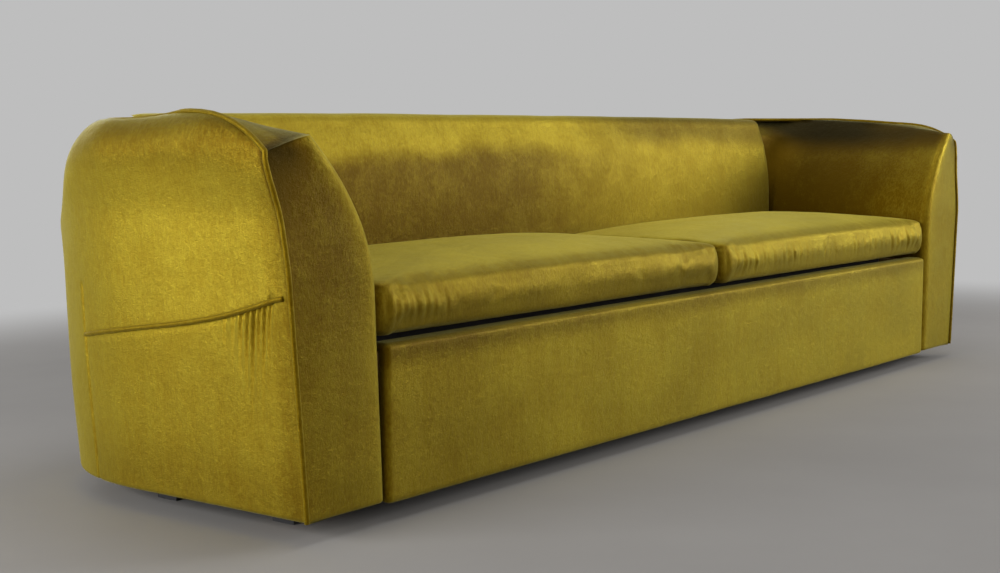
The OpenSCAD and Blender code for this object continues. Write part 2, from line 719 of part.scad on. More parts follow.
leg_axis_y = bed_back_y - leg_axis_back;
foot_leg_y = section_y + foot_bar_inset - leg_clear - leg_t;
module pin_y(x, y0, y1, r) translate([x, y0, leg_z]) rotate([-90, 0, 0]) cylinder(h = y1 - y0, r = r);
module leg_pins() {
    gap = leg_w / 2 + leg_clear;
    color(bright) on_floor() both_sides() {
        pin_x(middle_leg_x - gap, middle_leg_x + gap, leg_axis_y, leg_z, pin_r);
        pin_y(foot_leg_x, foot_leg_y - fit, section_y + foot_bar_inset, pin_r);
        pin_y(foot_leg_x, foot_leg_y - fit - pin_head_t, foot_leg_y - fit, pin_head_r);
    }
}
module pull_tab()
    color(black) on_floor()
        box(-tab_w / 2, tab_w / 2, section_y + foot_bar_inset - tab_t, section_y + foot_bar_inset,
            foot_tube_z + tab_drop, foot_deck_z - tab_drop);

// Middle legs fold forward under the foot section
module middle_legs() {
    color(steel) on_floor() both_sides() along_x(middle_leg_x - leg_w / 2, middle_leg_x + leg_w / 2)
        translate([leg_axis_y, leg_z]) difference() {
            union() {
                circle(r = leg_h / 2);
                translate([-leg_l, -leg_h / 2]) square([leg_l, leg_h]);
            }
            circle(r = pin_r + run);
        }
}
module middle_leg_tips()
    color(black) on_floor() both_sides()
        box(middle_leg_x - leg_w / 2, middle_leg_x + leg_w / 2,
            leg_axis_y - leg_l - tip_l, leg_axis_y - leg_l, leg_z - leg_h / 2, leg_z + leg_h / 2);
// Foot legs fold sideways along the free edge
module foot_leg() {
    color(steel) on_floor() translate([foot_leg_x, foot_leg_y + leg_t, leg_z]) rotate([90, 0, 0])
        linear_extrude(leg_t) difference() {
            union() {
                circle(r = leg_h / 2);
                translate([-leg_l, -leg_h / 2]) square([leg_l, leg_h]);
            }
            circle(r = pin_r + run);
        }
}
module leg_tip()
    color(black) on_floor()
        box(foot_leg_x - leg_l - tip_l, foot_leg_x - leg_l, foot_leg_y, foot_leg_y + leg_t,
            leg_z - leg_h / 2, leg_z + leg_h / 2);
module right_foot_leg() foot_leg();
module left_foot_leg() mirror([1, 0, 0]) foot_leg();
module right_leg_tip() leg_tip();
module left_leg_tip() mirror([1, 0, 0]) leg_tip();

// Outline of a cushion seen from above: round corners, sides drawn in between them
function cushion_outline(a, b) =
    let (r = cushion_corner,
         corner = function (cx, cy, g) [for (i = [0 : corner_steps])
             [cx + r * cos(g + i * 90 / corner_steps), cy + r * sin(g + i * 90 / corner_steps)]],
         run_x = function (y, s) [for (i = [1 : side_steps - 1]) let (t = i / side_steps)
             [mix(a - r, r - a, t) * s, y - sign(y) * cushion_draw * sin(180 * t)]],
         run_y = function (x, s) [for (i = [1 : end_steps - 1]) let (t = i / end_steps)
             [x - sign(x) * cushion_draw * sin(180 * t), mix(b - r, r - b, t) * s]])
    concat(corner(a - r, b - r, 0), run_x(b, 1), corner(r - a, b - r, 90), run_y(-a, 1),
           corner(r - a, r - b, 180), run_x(-b, -1), corner(a - r, r - b, 270), run_y(a, -1));
// Crowned block on a flat base, its sides swelling between the seams
module seat_cushion() {
    a = (cushion_end - cushion_gap / 2) / 2;
    b = cushion_d / 2;
    line = cushion_outline(a - cushion_swell, b - cushion_swell);
    n = len(line);
    low = [for (s = low_rings_share) [for (p = line) [p[0] * s, p[1] * s, 0]]];
    wall = [for (s = side_rings_share) let (w = cushion_swell * sin(180 * s))
        [for (p = line) [p[0] * (1 + w / a), p[1] * (1 + w / b), cushion_t * s]]];
    top = [for (s = top_rings_share)
        [for (p = line) [p[0] * s, p[1] * s, cushion_t + cushion_crown * (1 - pow(s, crown_power))]]];
    rings = concat(low, wall, top);
    m = len(rings);
    points = concat([for (r = rings) each r], [[0, 0, 0], [0, 0, cushion_t + cushion_crown]]);
    walls = [for (i = [0 : m - 2], j = [0 : n - 1], k = [0, 1])
        let (c = i * n + j, d = i * n + (j + 1) % n)
        k == 0 ? [c, c + n, d + n] : [c, d + n, d]];
    base = [for (j = [0 : n - 1]) [m * n, j, (j + 1) % n]];
    cap = [for (j = [0 : n - 1]) [m * n + 1, (m - 1) * n + (j + 1) % n, (m - 1) * n + j]];
    color(velvet) on_floor()
        translate([(cushion_end + cushion_gap / 2) / 2, cushion_front + b, cushion_z])
            polyhedron(points, concat(walls, base, cap), convexity = 4);
}
module right_cushion() seat_cushion();
module left_cushion() mirror([1, 0, 0]) seat_cushion();

arm_cover_left();
arm_cover_right();
back_cover();
back_pad();
front_panel();
welt();
pocket_welt();
arm_frame_left();
arm_frame_right();
back_frame();
front_board();
side_board_left();
side_board_right();
dust_cover();
feet();
side_plates();
plate_bolts();
rear_pins();
lift_arms();
tie_arms();
inner_frame();
inner_deck();
inner_mattress();
arm_pins();
main_hinge_pins();
middle_frame();
middle_deck();
middle_mattress();
fold_hinge_pins();
foot_frame();
foot_deck();
foot_mattress();
leg_pins();
pull_tab();
middle_legs();
middle_leg_tips();
left_foot_leg();
left_leg_tip();
right_foot_leg();
right_leg_tip();
left_cushion();
right_cushion();
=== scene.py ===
# %% [markdown]
# # A low velvet sofa bed
# This file dresses a fixed, already jointed model of a sofa bed. The model gives every size and every
# moving body. Each cell here adds one upholstered piece, one trim or one finish on top of it, in the
# same frame: +X to the right seen from the front, -Y the front, +Z up, all in metres.

# %% The tools and the frame
import json
import math

import bmesh
import bpy
import numpy as np
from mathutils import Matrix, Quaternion, Vector, noise


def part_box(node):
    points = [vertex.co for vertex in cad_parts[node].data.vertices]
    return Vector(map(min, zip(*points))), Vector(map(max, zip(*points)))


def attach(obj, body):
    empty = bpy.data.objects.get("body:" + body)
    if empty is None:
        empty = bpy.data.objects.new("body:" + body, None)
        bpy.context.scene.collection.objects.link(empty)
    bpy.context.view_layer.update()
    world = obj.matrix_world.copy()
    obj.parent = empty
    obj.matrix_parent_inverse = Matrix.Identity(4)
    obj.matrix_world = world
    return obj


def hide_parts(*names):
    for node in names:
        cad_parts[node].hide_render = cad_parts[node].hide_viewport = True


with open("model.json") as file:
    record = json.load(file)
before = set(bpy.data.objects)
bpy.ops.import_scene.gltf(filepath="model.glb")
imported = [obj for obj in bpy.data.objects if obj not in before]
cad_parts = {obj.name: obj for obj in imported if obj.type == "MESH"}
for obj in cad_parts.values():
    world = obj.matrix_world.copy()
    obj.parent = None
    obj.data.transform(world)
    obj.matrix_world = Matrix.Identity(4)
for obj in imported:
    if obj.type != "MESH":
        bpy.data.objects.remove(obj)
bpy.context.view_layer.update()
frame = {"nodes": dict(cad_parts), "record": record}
nodes = frame["nodes"]

# %% [markdown]
# The padded shell is worked out in millimetres from the front of the arms and from the underside of
# the upholstery, because that is how a pattern cutter measures it. One helper turns such points into
# the frame.

# %% The measuring frame of the upholstery
MM = 0.001
arm_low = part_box("arm_cover_right")[0]
under_z = arm_low.z
origin = np.array([0, arm_low.y, under_z])


def to_frame(points_mm):
    """Pattern measures (across, back from the front, up from the underside) put into the frame."""
    return np.asarray(points_mm, float) * MM + origin


def smooth(low, high, value):
    """0 before low, 1 after high, an even bend between. With low above high it falls instead."""
    t = np.clip((value - low) / (high - low), 0, 1)
    return t * t * (3 - 2 * t)


print("upholstery starts", round(under_z, 4), "m above the floor")

# %% [markdown]
# The outside of the body leans out as it rises, swells once more under the top and then turns in to
# the piping. The same few curves describe the arms, the round rear corners and the back, so the cloth
# can run round all three without a step. They are the curves of the solid model, sampled much closer,
# with a tighter bottom edge and squarer corners near the floor, as in the photograph. Names that end
# in share are parts of the shell's height.

# %% The curves of the shell
half_width = 1350
shell_h = 659
base_depth = 770
inside_x = 1156
inside_end = 1152
corner_wide = 300
corner_from = 400
corner_deep = base_depth - corner_from
corner_x = half_width - corner_wide
lean_out = 54
swell_out = 18
swell_low_share = 0.73
swell_high_share = 0.93
nose_drop = 83
nose_length = 260
nose_back = 21
nose_low_share = 0.6
nose_rise_share = 0.295
side_inset = 52
back_inset = 165
crest_fall = 3
corner_fall = 9
fall_start = 230
ridge_share = 0.944
ridge_length = 160
knee_share = 0.577
inside_lean = 15
inside_roll = 190
inside_roll_share = 0.53
edge_round = 7
ledge_h = 303
wall_y = 545
wall_low_share = 0.91
wall_rise_share = 0.09
hollow_y = 718.3
top_share = 0.985
side_turn_share = 0.11
back_turn_share = 0.19
turn_angle = 46
rear_seam_y = 538


def flare(up):
    """How far the outside stands out past its bottom edge."""
    swell = smooth(swell_low_share * shell_h, swell_high_share * shell_h, up)
    return lean_out * np.maximum(up, 0) / shell_h + swell_out * swell


def turned_in(share, inset, power):
    """How far the cloth has come back in, from 0 at the widest line to the inset at the piping."""
    q = np.clip(share, 0, 1)
    return inset * (1 - (1 - q ** power) ** (1 / power))


def lean_back(up):
    return nose_back * np.clip((up / shell_h - nose_low_share) / nose_rise_share, 0, 1) ** 1.3


def slice_y(y, up):
    return y + lean_back(up) * (1 - y / corner_from)


def nose(y):
    return np.maximum(0, 1 - y / nose_length) ** 3


def crest_height(y):
    return shell_h - nose_drop * nose(y) - corner_fall * smooth(fall_start, corner_from, y)


def tucked_under(up):
    """How far the cloth has turned in at the bottom edge."""
    low = np.clip(edge_round - up, 0, edge_round)
    return edge_round - np.sqrt(edge_round ** 2 - low ** 2)


crest_x = half_width + lean_out + swell_out - side_inset
crest_y = base_depth + lean_out + swell_out - back_inset


def crest_across(y):
    outer = half_width + flare(shell_h - nose_drop)
    return crest_x + (outer - crest_x) * nose(y) ** 0.3


def inside_at(up):
    """Place across of an arm's inside: almost straight, then rolling out to the crown."""
    knee = inside_roll_share * shell_h
    over = np.maximum(0, up - knee) / (shell_h - knee)
    return inside_x + inside_lean * np.minimum(up, knee) / knee + inside_roll * over ** 2


def wall_at(up):
    """Place back of the wall that carries the back pad, hollow below the ledge."""
    over = np.maximum(0, up / shell_h - wall_low_share) / wall_rise_share
    lean = (crest_y - 10 - wall_y) * over ** 1.5
    return np.where(up <= ledge_h, hollow_y, wall_y + lean)


print("crest at", crest_x, "across and", crest_y, "back")

# %% [markdown]
# A ring is one cut through the padding: up the inside, over the crown and down the outside. Three
# small functions give the ring of an arm, of a rear corner and of the back. Points lie close where the
# surface bends and round the sewn pocket line, and far apart elsewhere, which is cheaper than an even
# fine mesh.

# %% Rings through the padding
low_share = np.array([0.002, 0.005, 0.009, 0.014, 0.02])
to_ledge = np.linspace(0.04, ledge_h / shell_h, 12)
above_ledge = np.linspace(0.48, top_share, 44)
inner_share = np.r_[0, low_share, to_ledge, (ledge_h + 1) / shell_h, above_ledge]
round_pocket = np.linspace(0.38, 0.57, 32)
outer_share = np.unique(np.r_[1 - np.linspace(0, 1, 56) ** 1.5, round_pocket, low_share])[::-1]
at_piping = np.array([1.0])
crown_t = np.linspace(0, 1, 12)[1:-1]
fold_r = 20
seam_r = 7


def outer_side(y, share):
    top_y = slice_y(y, shell_h)
    top = crest_height(top_y)
    up = share * top
    start = top - side_turn_share * shell_h
    inset = half_width + flare(top) - crest_across(top_y)
    turned = turned_in((up - start) / (top - start), inset, 2)
    across = half_width + flare(up) - turned - tucked_under(up)
    return np.stack([across, slice_y(y, up), up], -1)


def corner_top(angle):
    return shell_h - corner_fall + (corner_fall - crest_fall) * smooth(turn_angle, 90, angle)


def corner_power(up):
    """The corners are a little squarer near the floor than under the top."""
    return 2 + 0.25 * smooth(450, 120, up)


def outer_corner(angle, share):
    """The outside of a rear corner at an angle: 0 meets the arm's side, 90 the back."""
    turn = smooth(0, turn_angle, angle)
    top = corner_top(angle)
    up = share * top
    start = top - (side_turn_share + back_turn_share * turn) * shell_h
    a = math.radians(angle)
    power = corner_power(up)
    along, behind = math.cos(a) ** (2 / power), math.sin(a) ** (2 / power)
    slopes = along ** (power - 1) / corner_wide, behind ** (power - 1) / corner_deep
    normal = np.stack(slopes, -1)
    normal /= np.linalg.norm(normal, axis=1)[:, None]
    inset = side_inset + (back_inset - side_inset) * turn
    turned = turned_in((up - start) / (top - start), inset, 2 - 0.5 * turn)
    out = flare(up) - turned - tucked_under(up)
    across = corner_x + corner_wide * along + normal[:, 0] * out
    back = corner_from + corner_deep * behind + normal[:, 1] * out
    return np.stack([across, back, up], -1)


def crown(low, high, ridge):
    """Points of the soft top between the inside and the piping."""
    middle = low + 0.4 * (high - low)
    middle[2] = (1 - ridge) * (max(low[2], high[2]) + 2) + ridge * (middle[2] + 7)
    return np.array([low * (1 - t) ** 2 + middle * 2 * t * (1 - t) + high * t * t for t in crown_t])


def ring(inner, outer, ridge=0.0):
    return np.concatenate([inner, crown(inner[-1], outer[0], ridge), outer])


def arm_ring(y):
    """Near the front the inside ends lower, at a ridge that runs back to meet the piping."""
    ridge = max(0, 1 - y / ridge_length)
    over = np.maximum(0, inner_share - knee_share) / (top_share - knee_share)
    up = (inner_share - over * (top_share - ridge_share) * ridge) * shell_h
    inner_y = fold_r + (corner_from - fold_r) * y / corner_from
    inner = np.stack([inside_at(up), np.full_like(up, inner_y), up], -1)
    return ring(inner, outer_side(y, outer_share), ridge)


def corner_ring(angle):
    up = inner_share * shell_h
    a = math.radians(angle)
    across = inside_end + (inside_at(up) - inside_end) * math.cos(a)
    back = corner_from + (wall_at(up) - corner_from) * math.sin(a)
    return ring(np.stack([across, back, up], -1), outer_corner(angle, outer_share))


def back_ring(across):
    points = corner_ring(90)
    points[:, 0] = across
    return points


print("points in a ring:", len(back_ring(0)))

# %% [markdown]
# The front of an arm is a flat padded panel. Its inner edge is only folded round, so it is soft. Its
# top edge is a sewn seam, which is tighter, and its outer edge ends at the piping. The panel is a grid
# whose first column is the arm's first ring, so the two share an edge. Both folds are quarter circles
# measured from that edge.

# %% The front panel of an arm
panel_columns = np.r_[0, 0.012, 0.03, 0.055, 0.085, 0.12, 0.16, np.linspace(0.21, 0.94, 13), 0.975, 1]
edge_count = len(inner_share) + len(crown_t) + 1


def quarter(gap, radius):
    """Depth of a quarter round at a distance from the edge where it starts."""
    return radius - np.sqrt(np.maximum(radius ** 2 - np.maximum(radius - gap, 0) ** 2, 0))


def least_gap(points, line):
    """Distance from each point to the nearest point of the line, seen from the front."""
    return np.min(np.linalg.norm(points[:, None, ::2] - line[None, :, ::2], axis=2), axis=1)


def front_depth(points, inner, top):
    """How far behind the foremost plane the front panel lies at each point."""
    up = points[:, 2]
    outer_x = outer_side(0, np.minimum(up / crest_height(slice_y(0, shell_h)), 1))[:, 0]
    wide = np.clip((points[:, 0] - inside_at(up)) / (outer_x - inside_at(up) + 1e-6), 0, 1)
    inner_fold = quarter(least_gap(points, inner), fold_r)
    fold = np.maximum(inner_fold, quarter(least_gap(points, top), seam_r))
    dome = 3 * np.sin(math.pi * wide) * smooth(0, 60, up)
    return fold * (1 - wide ** 6) + lean_back(up) * wide - dome + tucked_under(up)


first = arm_ring(0)
inner_line = first[:len(inner_share)]
top_line = first[len(inner_share) - 1:edge_count]
crown_part = slice(len(inner_share), edge_count - 1)
first[crown_part, 1] = front_depth(first[crown_part], inner_line, top_line)


def arm_front():
    """The panel's grid: from the first ring's edge straight across to the outer edge."""
    edge = first[:edge_count]
    top = outer_side(0, at_piping)[0]
    up_out = np.minimum(edge[:, 2] * top[2] / inner_line[-1, 2], top[2])
    up_out[len(inner_share):] = top[2]
    far = outer_side(0, up_out / top[2])
    rows = []
    for start, end in zip(edge, far):
        row = start + (end - start) * panel_columns[:, None]
        row[1:-1, 1] = front_depth(row[1:-1], inner_line, top_line)
        rows.append(row)
    return np.array(rows)


print("columns across the arm front:", len(panel_columns))

# %% [markdown]
# The rings stand at stations along the body, close together at the pocket's gathers and at the pressed
# seam of the rear corner. One half is worked out and mirrored. Only the left corner's crest has sunk a
# little on the real sofa, so the last helper gives the right one its height back.

# %% Stations from the front of an arm to the middle of the back
gathers_end = 170
near_gathers = np.linspace(0, gathers_end, 66)
front_stations = np.unique(np.r_[near_gathers, np.linspace(gathers_end, corner_from, 24)])
seam_angle = math.degrees(math.asin((rear_seam_y - corner_from) / corner_deep))
seam_near = seam_angle + np.linspace(-4, 1.6, 17)
corner_stations = np.unique(np.r_[np.linspace(2, 90, 40), seam_near])
back_stations = np.linspace(corner_x, 0, 60)[1:]
half_rings = [first] + [arm_ring(y) for y in front_stations[1:]]
half_rings += [corner_ring(a) for a in corner_stations]
half_rings += [back_ring(x) for x in back_stations]
flip = np.array([-1, 1, 1])
all_rings = np.array(half_rings + [r * flip for r in reversed(half_rings[:-1])])


def kept_up(points):
    """The right arm keeps its height round the rear corner, where the left one dips a little."""
    x, y, up = points.T
    round_x = (np.abs(x) - corner_x) / corner_wide
    angle = np.degrees(np.arctan2((y - corner_from) / corner_deep, round_x))
    before_back = 1 - smooth(turn_angle, 90, angle)
    dip = corner_fall * smooth(fall_start, corner_from, y) * before_back
    dip += 4 * smooth(300, 420, y) * before_back - 8 * np.exp(-((y - 190) / 85) ** 2)
    return points + np.stack([0 * x, 0 * x, (x > 0) * dip * (up / shell_h) ** 2], -1)


print("rings:", all_rings.shape)

# %% [markdown]
# Cloth over foam is never perfectly even. The helper below moves every point along its own normal: slow
# hollows and swells of a millimetre or two, small pulls under the piping, a pressed seam line at the
# rear corners, and the gathers that hang from the front end of the pocket. Moving real points, not only
# shading, keeps the highlights of the pile alive from every side.

# %% How the cloth lies on the shell
def slow(points, size, seed=0.0):
    """Smooth noise between -1 and 1 at each point, for waves of that size in millimetres."""
    shift = Vector((seed, seed * 1.7, seed * 0.6))
    return np.array([noise.noise(Vector(p) / size + shift) for p in points])


pocket_from = (536, 268)
pocket_to = (39, 361)


def pocket_line(y):
    """Height of the slanted pocket line on the left side at distance y from the front."""
    t = np.clip((pocket_from[0] - y) / (pocket_from[0] - pocket_to[0]), 0, 1.05)
    sag = 11 * np.sin(math.pi * np.minimum(t, 1) ** 1.7)
    return pocket_from[1] + (pocket_to[1] - pocket_from[1]) * t - sag


side_from = 1300
pucker_y = np.array([46, 58, 70, 84, 98, 114, 132, 152, 176])
pucker_deep = np.array([6, 8, 6.5, 8.5, 7, 5, 3.6, 2.4, 1.4])
pucker_long = np.array([36, 50, 40, 62, 48, 38, 30, 24, 20])


def shell_offset(points):
    """Millimetres that each point of the shell moves out along its normal."""
    x, y, up = points.T
    move = 1.5 * slow(points, 260) + 0.5 * slow(points, 80, 3)
    move *= smooth(0, 60, up)
    below_top = np.maximum(crest_height(y) - up, 0)
    pulls = np.abs(slow(points * np.array([1, 1, 0.25]), 17, 5))
    at_crest = (np.abs(x) > crest_x - 5) | (y > crest_y)
    move -= 0.9 * pulls * np.exp(-below_top / 30) * at_crest
    seam = np.exp(-((y - rear_seam_y) / 4.5) ** 2) * smooth(368, 356, up)
    move -= 2.8 * (seam * (np.abs(x) > side_from))
    left = (x < -side_from) & (y < 200)
    below = pocket_line(y) - up
    for at, deep, long in zip(pucker_y, pucker_deep, pucker_long):
        line = at + 0.12 * below
        crease = np.exp(-((y - line) / 3.4) ** 2) - 0.45 * np.exp(-((y - line - 6.5) / 3.6) ** 2)
        move -= left * deep * crease * np.exp(-np.maximum(below, 0) / long) * smooth(-3, 1, below)
    tuck = (x < -side_from) * smooth(25, 45, y) * smooth(545, 530, y)
    over = 1.6 * np.exp(-(np.maximum(-below, 0) / 30) ** 2) * (below < 0)
    under = 1.2 * np.exp(-((below - 6) / 6) ** 2)
    return move + tuck * (over - under)


print("gathers under the pocket:", len(pucker_y))

# %% [markdown]
# Every piece goes through the same few steps: make a mesh, read its points as an array, move them, put
# them back. The helpers do that with whole arrays, which is far quicker than point by point.

# %% Mesh helpers
def mesh_object(name, verts, faces):
    mesh = bpy.data.meshes.new(name)
    mesh.from_pydata([tuple(v) for v in verts], [], [tuple(int(i) for i in f) for f in faces])
    mesh.update()
    piece = bpy.data.objects.new(name, mesh)
    bpy.context.scene.collection.objects.link(piece)
    return piece


def grid_faces(rows, columns, start=0, closed=False, flip_sides=False):
    faces = []
    for i in range(rows - 1):
        for j in range(columns if closed else columns - 1):
            a = start + i * columns + j
            b = start + i * columns + (j + 1) % columns
            quad = (a, b, b + columns, a + columns)
            faces.append(quad[::-1] if flip_sides else quad)
    return faces


def tidy(piece, weld=0.0001, smooth_faces=True):
    """Welds shared edges, turns all faces outwards and shades them smooth."""
    bm = bmesh.new()
    bm.from_mesh(piece.data)
    if weld:
        bmesh.ops.remove_doubles(bm, verts=bm.verts, dist=weld)
    bmesh.ops.recalc_face_normals(bm, faces=bm.faces)
    bm.to_mesh(piece.data)
    bm.free()
    if smooth_faces:
        piece.data.shade_smooth()
    piece.data.update()
    return piece


def triples(collection, label):
    out = np.zeros(len(collection) * 3)
    collection.foreach_get(label, out)
    return out.reshape(-1, 3)


def places(piece):
    return triples(piece.data.vertices, "co")


def normals(piece):
    return triples(piece.data.vertex_normals, "vector")


def pattern_of(piece):
    """The points of a piece in pattern measures, the way back from to_frame."""
    return (places(piece) - origin) / MM


def set_places(piece, points):
    piece.data.vertices.foreach_set("co", np.asarray(points, float).ravel())
    piece.data.update()


def push(piece, offset_mm):
    """Moves each point along its normal by its own number of millimetres."""
    set_places(piece, places(piece) + normals(piece) * (np.asarray(offset_mm) * MM)[:, None])


def paint_light_and_shade(piece, painted_light):
    """Stores painted shade and painted highlight for the velvet: darker above 0, brighter below."""
    tone_and_painted_light = piece.data.attributes.new("painted_light_and_shade", "FLOAT", "POINT")
    tone_and_painted_light.data.foreach_set("value", painted_light.astype(np.float32))


print("helpers ready")

# %% [markdown]
# The shell is one closed mesh from the front of one arm, round the back, to the front of the other,
# because the real cover is pulled over as one piece and the light must run round the corners unbroken.
# It stands for three solids: both arms and the back. Painted shade darkens it on the inner faces, on
# the arm fronts, along the outsides' front and bottom edges and on the turned-in top, and a painted
# highlight lies in the middle of each outside.

# %% The padded shell
ring_count, ring_size = all_rings.shape[:2]
front_right = arm_front()
fronts = [grid.reshape(-1, 3) for grid in (front_right, front_right * flip)]
verts = np.concatenate([kept_up(all_rings.reshape(-1, 3)), *fronts])
shell_faces = grid_faces(ring_count, ring_size, closed=True)
panel_rows, panel_cols = front_right.shape[:2]
panel_start = ring_count * ring_size
left_start = panel_start + panel_rows * panel_cols
shell_faces += grid_faces(panel_rows, panel_cols, panel_start)
shell_faces += grid_faces(panel_rows, panel_cols, left_start, flip_sides=True)
shell = tidy(mesh_object("velvet_shell", to_frame(verts), shell_faces))
pattern = pattern_of(shell)
push(shell, shell_offset(pattern))
x, deep, up = pattern.T
side = np.abs(x)
past_inside = side - inside_at(up)
inside = smooth(20, -10, past_inside - 8) * smooth(10, 40, deep)
# Painted shade on the arm fronts, half as strong on the right arm.
on_front = smooth(16, 4, deep - lean_back(up))
on_front *= smooth(shell_h * 0.96, shell_h * 0.9, up) * (0.25 + 0.6 * smooth(60, 560, up))
on_front *= smooth(-8, 75, past_inside) * np.where(x > 0, 0.5, 1)
# Painted shade on the inner faces, light near the front and deeper towards the back.
inner_shade = 0.35 + 0.5 * smooth(60, 260, deep + 40 * slow(pattern, 70, 31))
behind_front = smooth(4, 16, deep)
on_outside = smooth(1320, 1345, side) * behind_front
# A painted highlight in the middle of each outside, and painted shade along its front and bottom edges.
highlight_up = up - 440 + 60 * slow(pattern, 200, 33)
side_highlight = np.exp(-((deep - 230) / 190) ** 2 - (highlight_up / 150) ** 2)
edges = 0.3 * smooth(70, 12, deep) + 0.25 * smooth(130, 30, up)
# Painted shade on the turned-in top, stronger inside the piping line.
on_top = smooth(545, 620, up) * smooth(1200, 1290, side) * behind_front
painted_light = np.maximum(on_front, inner_shade * inside)
painted_light += on_outside * (edges - 0.3 * side_highlight) + (0.6 + 0.4 * (side < crest_x)) * on_top
paint_light_and_shade(shell, painted_light)
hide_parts("arm_cover_left", "arm_cover_right", "back_cover")
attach(shell, "sofa")
print("shell points:", len(shell.data.vertices))

# %% [markdown]
# Piping is a cord wrapped in a strip of the same velvet and caught in the seam. It is swept as a tube
# along the edge of the shell. A cord under cloth shows small diagonal creases, so its radius changes a
# little on the way.

# %% The piping
def tube(name, points, radius, creases, steer=(0, 0, 1), sides=10):
    """Sweeps a closed tube along the points; steer is the way that its first side looks."""
    points = np.asarray(points, float)
    ahead = np.gradient(points, axis=0)
    ahead /= np.linalg.norm(ahead, axis=1)[:, None]
    side = np.cross(ahead, np.asarray(steer, float))
    side /= np.linalg.norm(side, axis=1)[:, None]
    up = np.cross(side, ahead)
    rings = []
    for i, (p, s, u) in enumerate(zip(points, side, up)):
        turn = np.arange(sides) * 2 * math.pi / sides
        r = radius * (1 + creases * np.sin(turn + i * 1.9) * math.sin(i * 0.7))
        rings.append(p + s * (np.cos(turn) * r)[:, None] + u * (np.sin(turn) * r)[:, None])
    n = len(points)
    verts = np.concatenate([np.concatenate(rings), points[[0, -1]]])
    faces = grid_faces(n, sides, closed=True)
    faces += [(n * sides, (j + 1) % sides, j) for j in range(sides)]
    last = (n - 1) * sides
    faces += [(n * sides + 1, last + j, last + (j + 1) % sides) for j in range(sides)]
    return tidy(mesh_object(name, to_frame(verts), faces), weld=0)


def even(points, step):
    """The same line with points an even step apart."""
    points = np.asarray(points, float)
    along = np.r_[0, np.cumsum(np.linalg.norm(np.diff(points, axis=0), axis=1))]
    at = np.linspace(0, along[-1], max(3, int(along[-1] / step) + 1))
    return np.stack([np.interp(at, along, points[:, k]) for k in range(3)], -1)


def piping_line():
    share = np.linspace(0.02, 1, 60)[:-1]
    edge = outer_side(0, share) + np.array([1.5, -1.5, 0])
    edge = np.concatenate([edge[:1] + np.array([[-1, 1, 2 - edge[0, 2]]]), edge])
    arm = np.array([outer_side(y, at_piping)[0] for y in np.linspace(0, corner_from, 60)])
    arm += np.stack([np.full(60, 1.5), -1.5 * nose(arm[:, 1]), np.full(60, 1.5)], -1)
    turn = np.array([outer_corner(a, at_piping)[0] for a in np.linspace(3, 90, 40)])
    turn[:, 2] += 1.5
    half = np.concatenate([edge, arm, turn])
    sunk = smooth(235, 300, half[:, 1]) * smooth(corner_x - 20, corner_x + 120, half[:, 0])
    inwards = np.stack([-4 * sunk, -2 * sunk * smooth(400, 500, half[:, 1]), -4 * sunk], -1)
    return np.concatenate([kept_up(half), (half[::-1] + inwards[::-1]) * flip])


piping_points = even(piping_line(), 6)
outwards = np.tile([0, 0.35, 0.2], (len(piping_points), 1))
outwards[:, 0] = np.sign(piping_points[:, 0]) * (np.abs(piping_points[:, 0]) > corner_x)
piping = tube("piping", piping_points, 4.5, creases=0.05, steer=outwards)
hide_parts("welt")
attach(piping, "sofa")


def pocket_across(y, up, angle):
    share = np.array([up / shell_h])
    return (outer_side(y, share) if y <= corner_from else outer_corner(angle, share))[0, 0]


pocket_y = np.linspace(pocket_from[0], 16, 112)
pocket_up = pocket_line(pocket_y)
pocket_turn = np.clip((pocket_y - corner_from) / corner_deep, 0, 1) ** (corner_power(pocket_up) / 2)
pocket_angle = np.degrees(np.arcsin(pocket_turn))
pocket_x = np.array([pocket_across(*at) for at in zip(pocket_y, pocket_up, pocket_angle)])
pocket_points = np.stack([-pocket_x - 2, pocket_y, pocket_up], -1)
pocket = tube("pocket_piping", even(pocket_points, 5), 4.3, creases=0.06)
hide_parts("pocket_welt")
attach(pocket, "sofa")
print("piping:", len(piping_points), "rings")

# %% [markdown]
# Blocks of foam under cloth all start the same way: an outline drawn in the depth and height of the
# sofa, made long across it, its ends rounded. A voxel remesh turns that block into an even skin of
# small squares, which a simulation or a displacement can then bend like cloth.

# %% Soft blocks
def long_block(name, outline, half, end_round):
    """A closed block: the outline (back, up) runs from -half to half, shrunk towards its ends."""
    outline = np.asarray(outline, float)
    centre = (outline.max(0) + outline.min(0)) / 2
    reach = (outline.max(0) - outline.min(0)) / 2
    turn = np.linspace(0, math.pi / 2, 6)
    inwards, inset = end_round * (1 - np.cos(turn)), end_round * (1 - np.sin(turn))
    across = np.r_[-half + inwards, half - inwards[::-1]]
    n = len(outline)
    sections = []
    for x, cut in zip(across, np.r_[inset, inset[::-1]]):
        section = centre + (outline - centre) * (1 - cut / reach)
        sections.append(np.c_[np.full(n, x), section])
    verts = np.concatenate(sections)
    faces = grid_faces(len(across), n, closed=True)
    faces += [tuple(range(n))[::-1], tuple(range((len(across) - 1) * n, len(across) * n))]
    return tidy(mesh_object(name, to_frame(verts), faces), smooth_faces=False)


def apply_all(piece):
    """Bakes every modifier into the mesh."""
    depsgraph = bpy.context.evaluated_depsgraph_get()
    baked = bpy.data.meshes.new_from_object(piece.evaluated_get(depsgraph))
    piece.modifiers.clear()
    old = piece.data
    piece.data = baked
    bpy.data.meshes.remove(old)
    piece.data.shade_smooth()
    return piece


def modified(piece, kind, **settings):
    modifier = piece.modifiers.new(kind, kind)
    for label, value in settings.items():
        setattr(modifier, label, value)
    return apply_all(piece)


def remeshed(piece, voxel_mm):
    return modified(piece, "REMESH", mode="VOXEL", voxel_size=voxel_mm * MM)


def relaxed(piece, times):
    return modified(piece, "SMOOTH", iterations=times)


def finer(piece):
    return modified(piece, "SUBSURF", levels=1, render_levels=1)


print("block helpers ready")
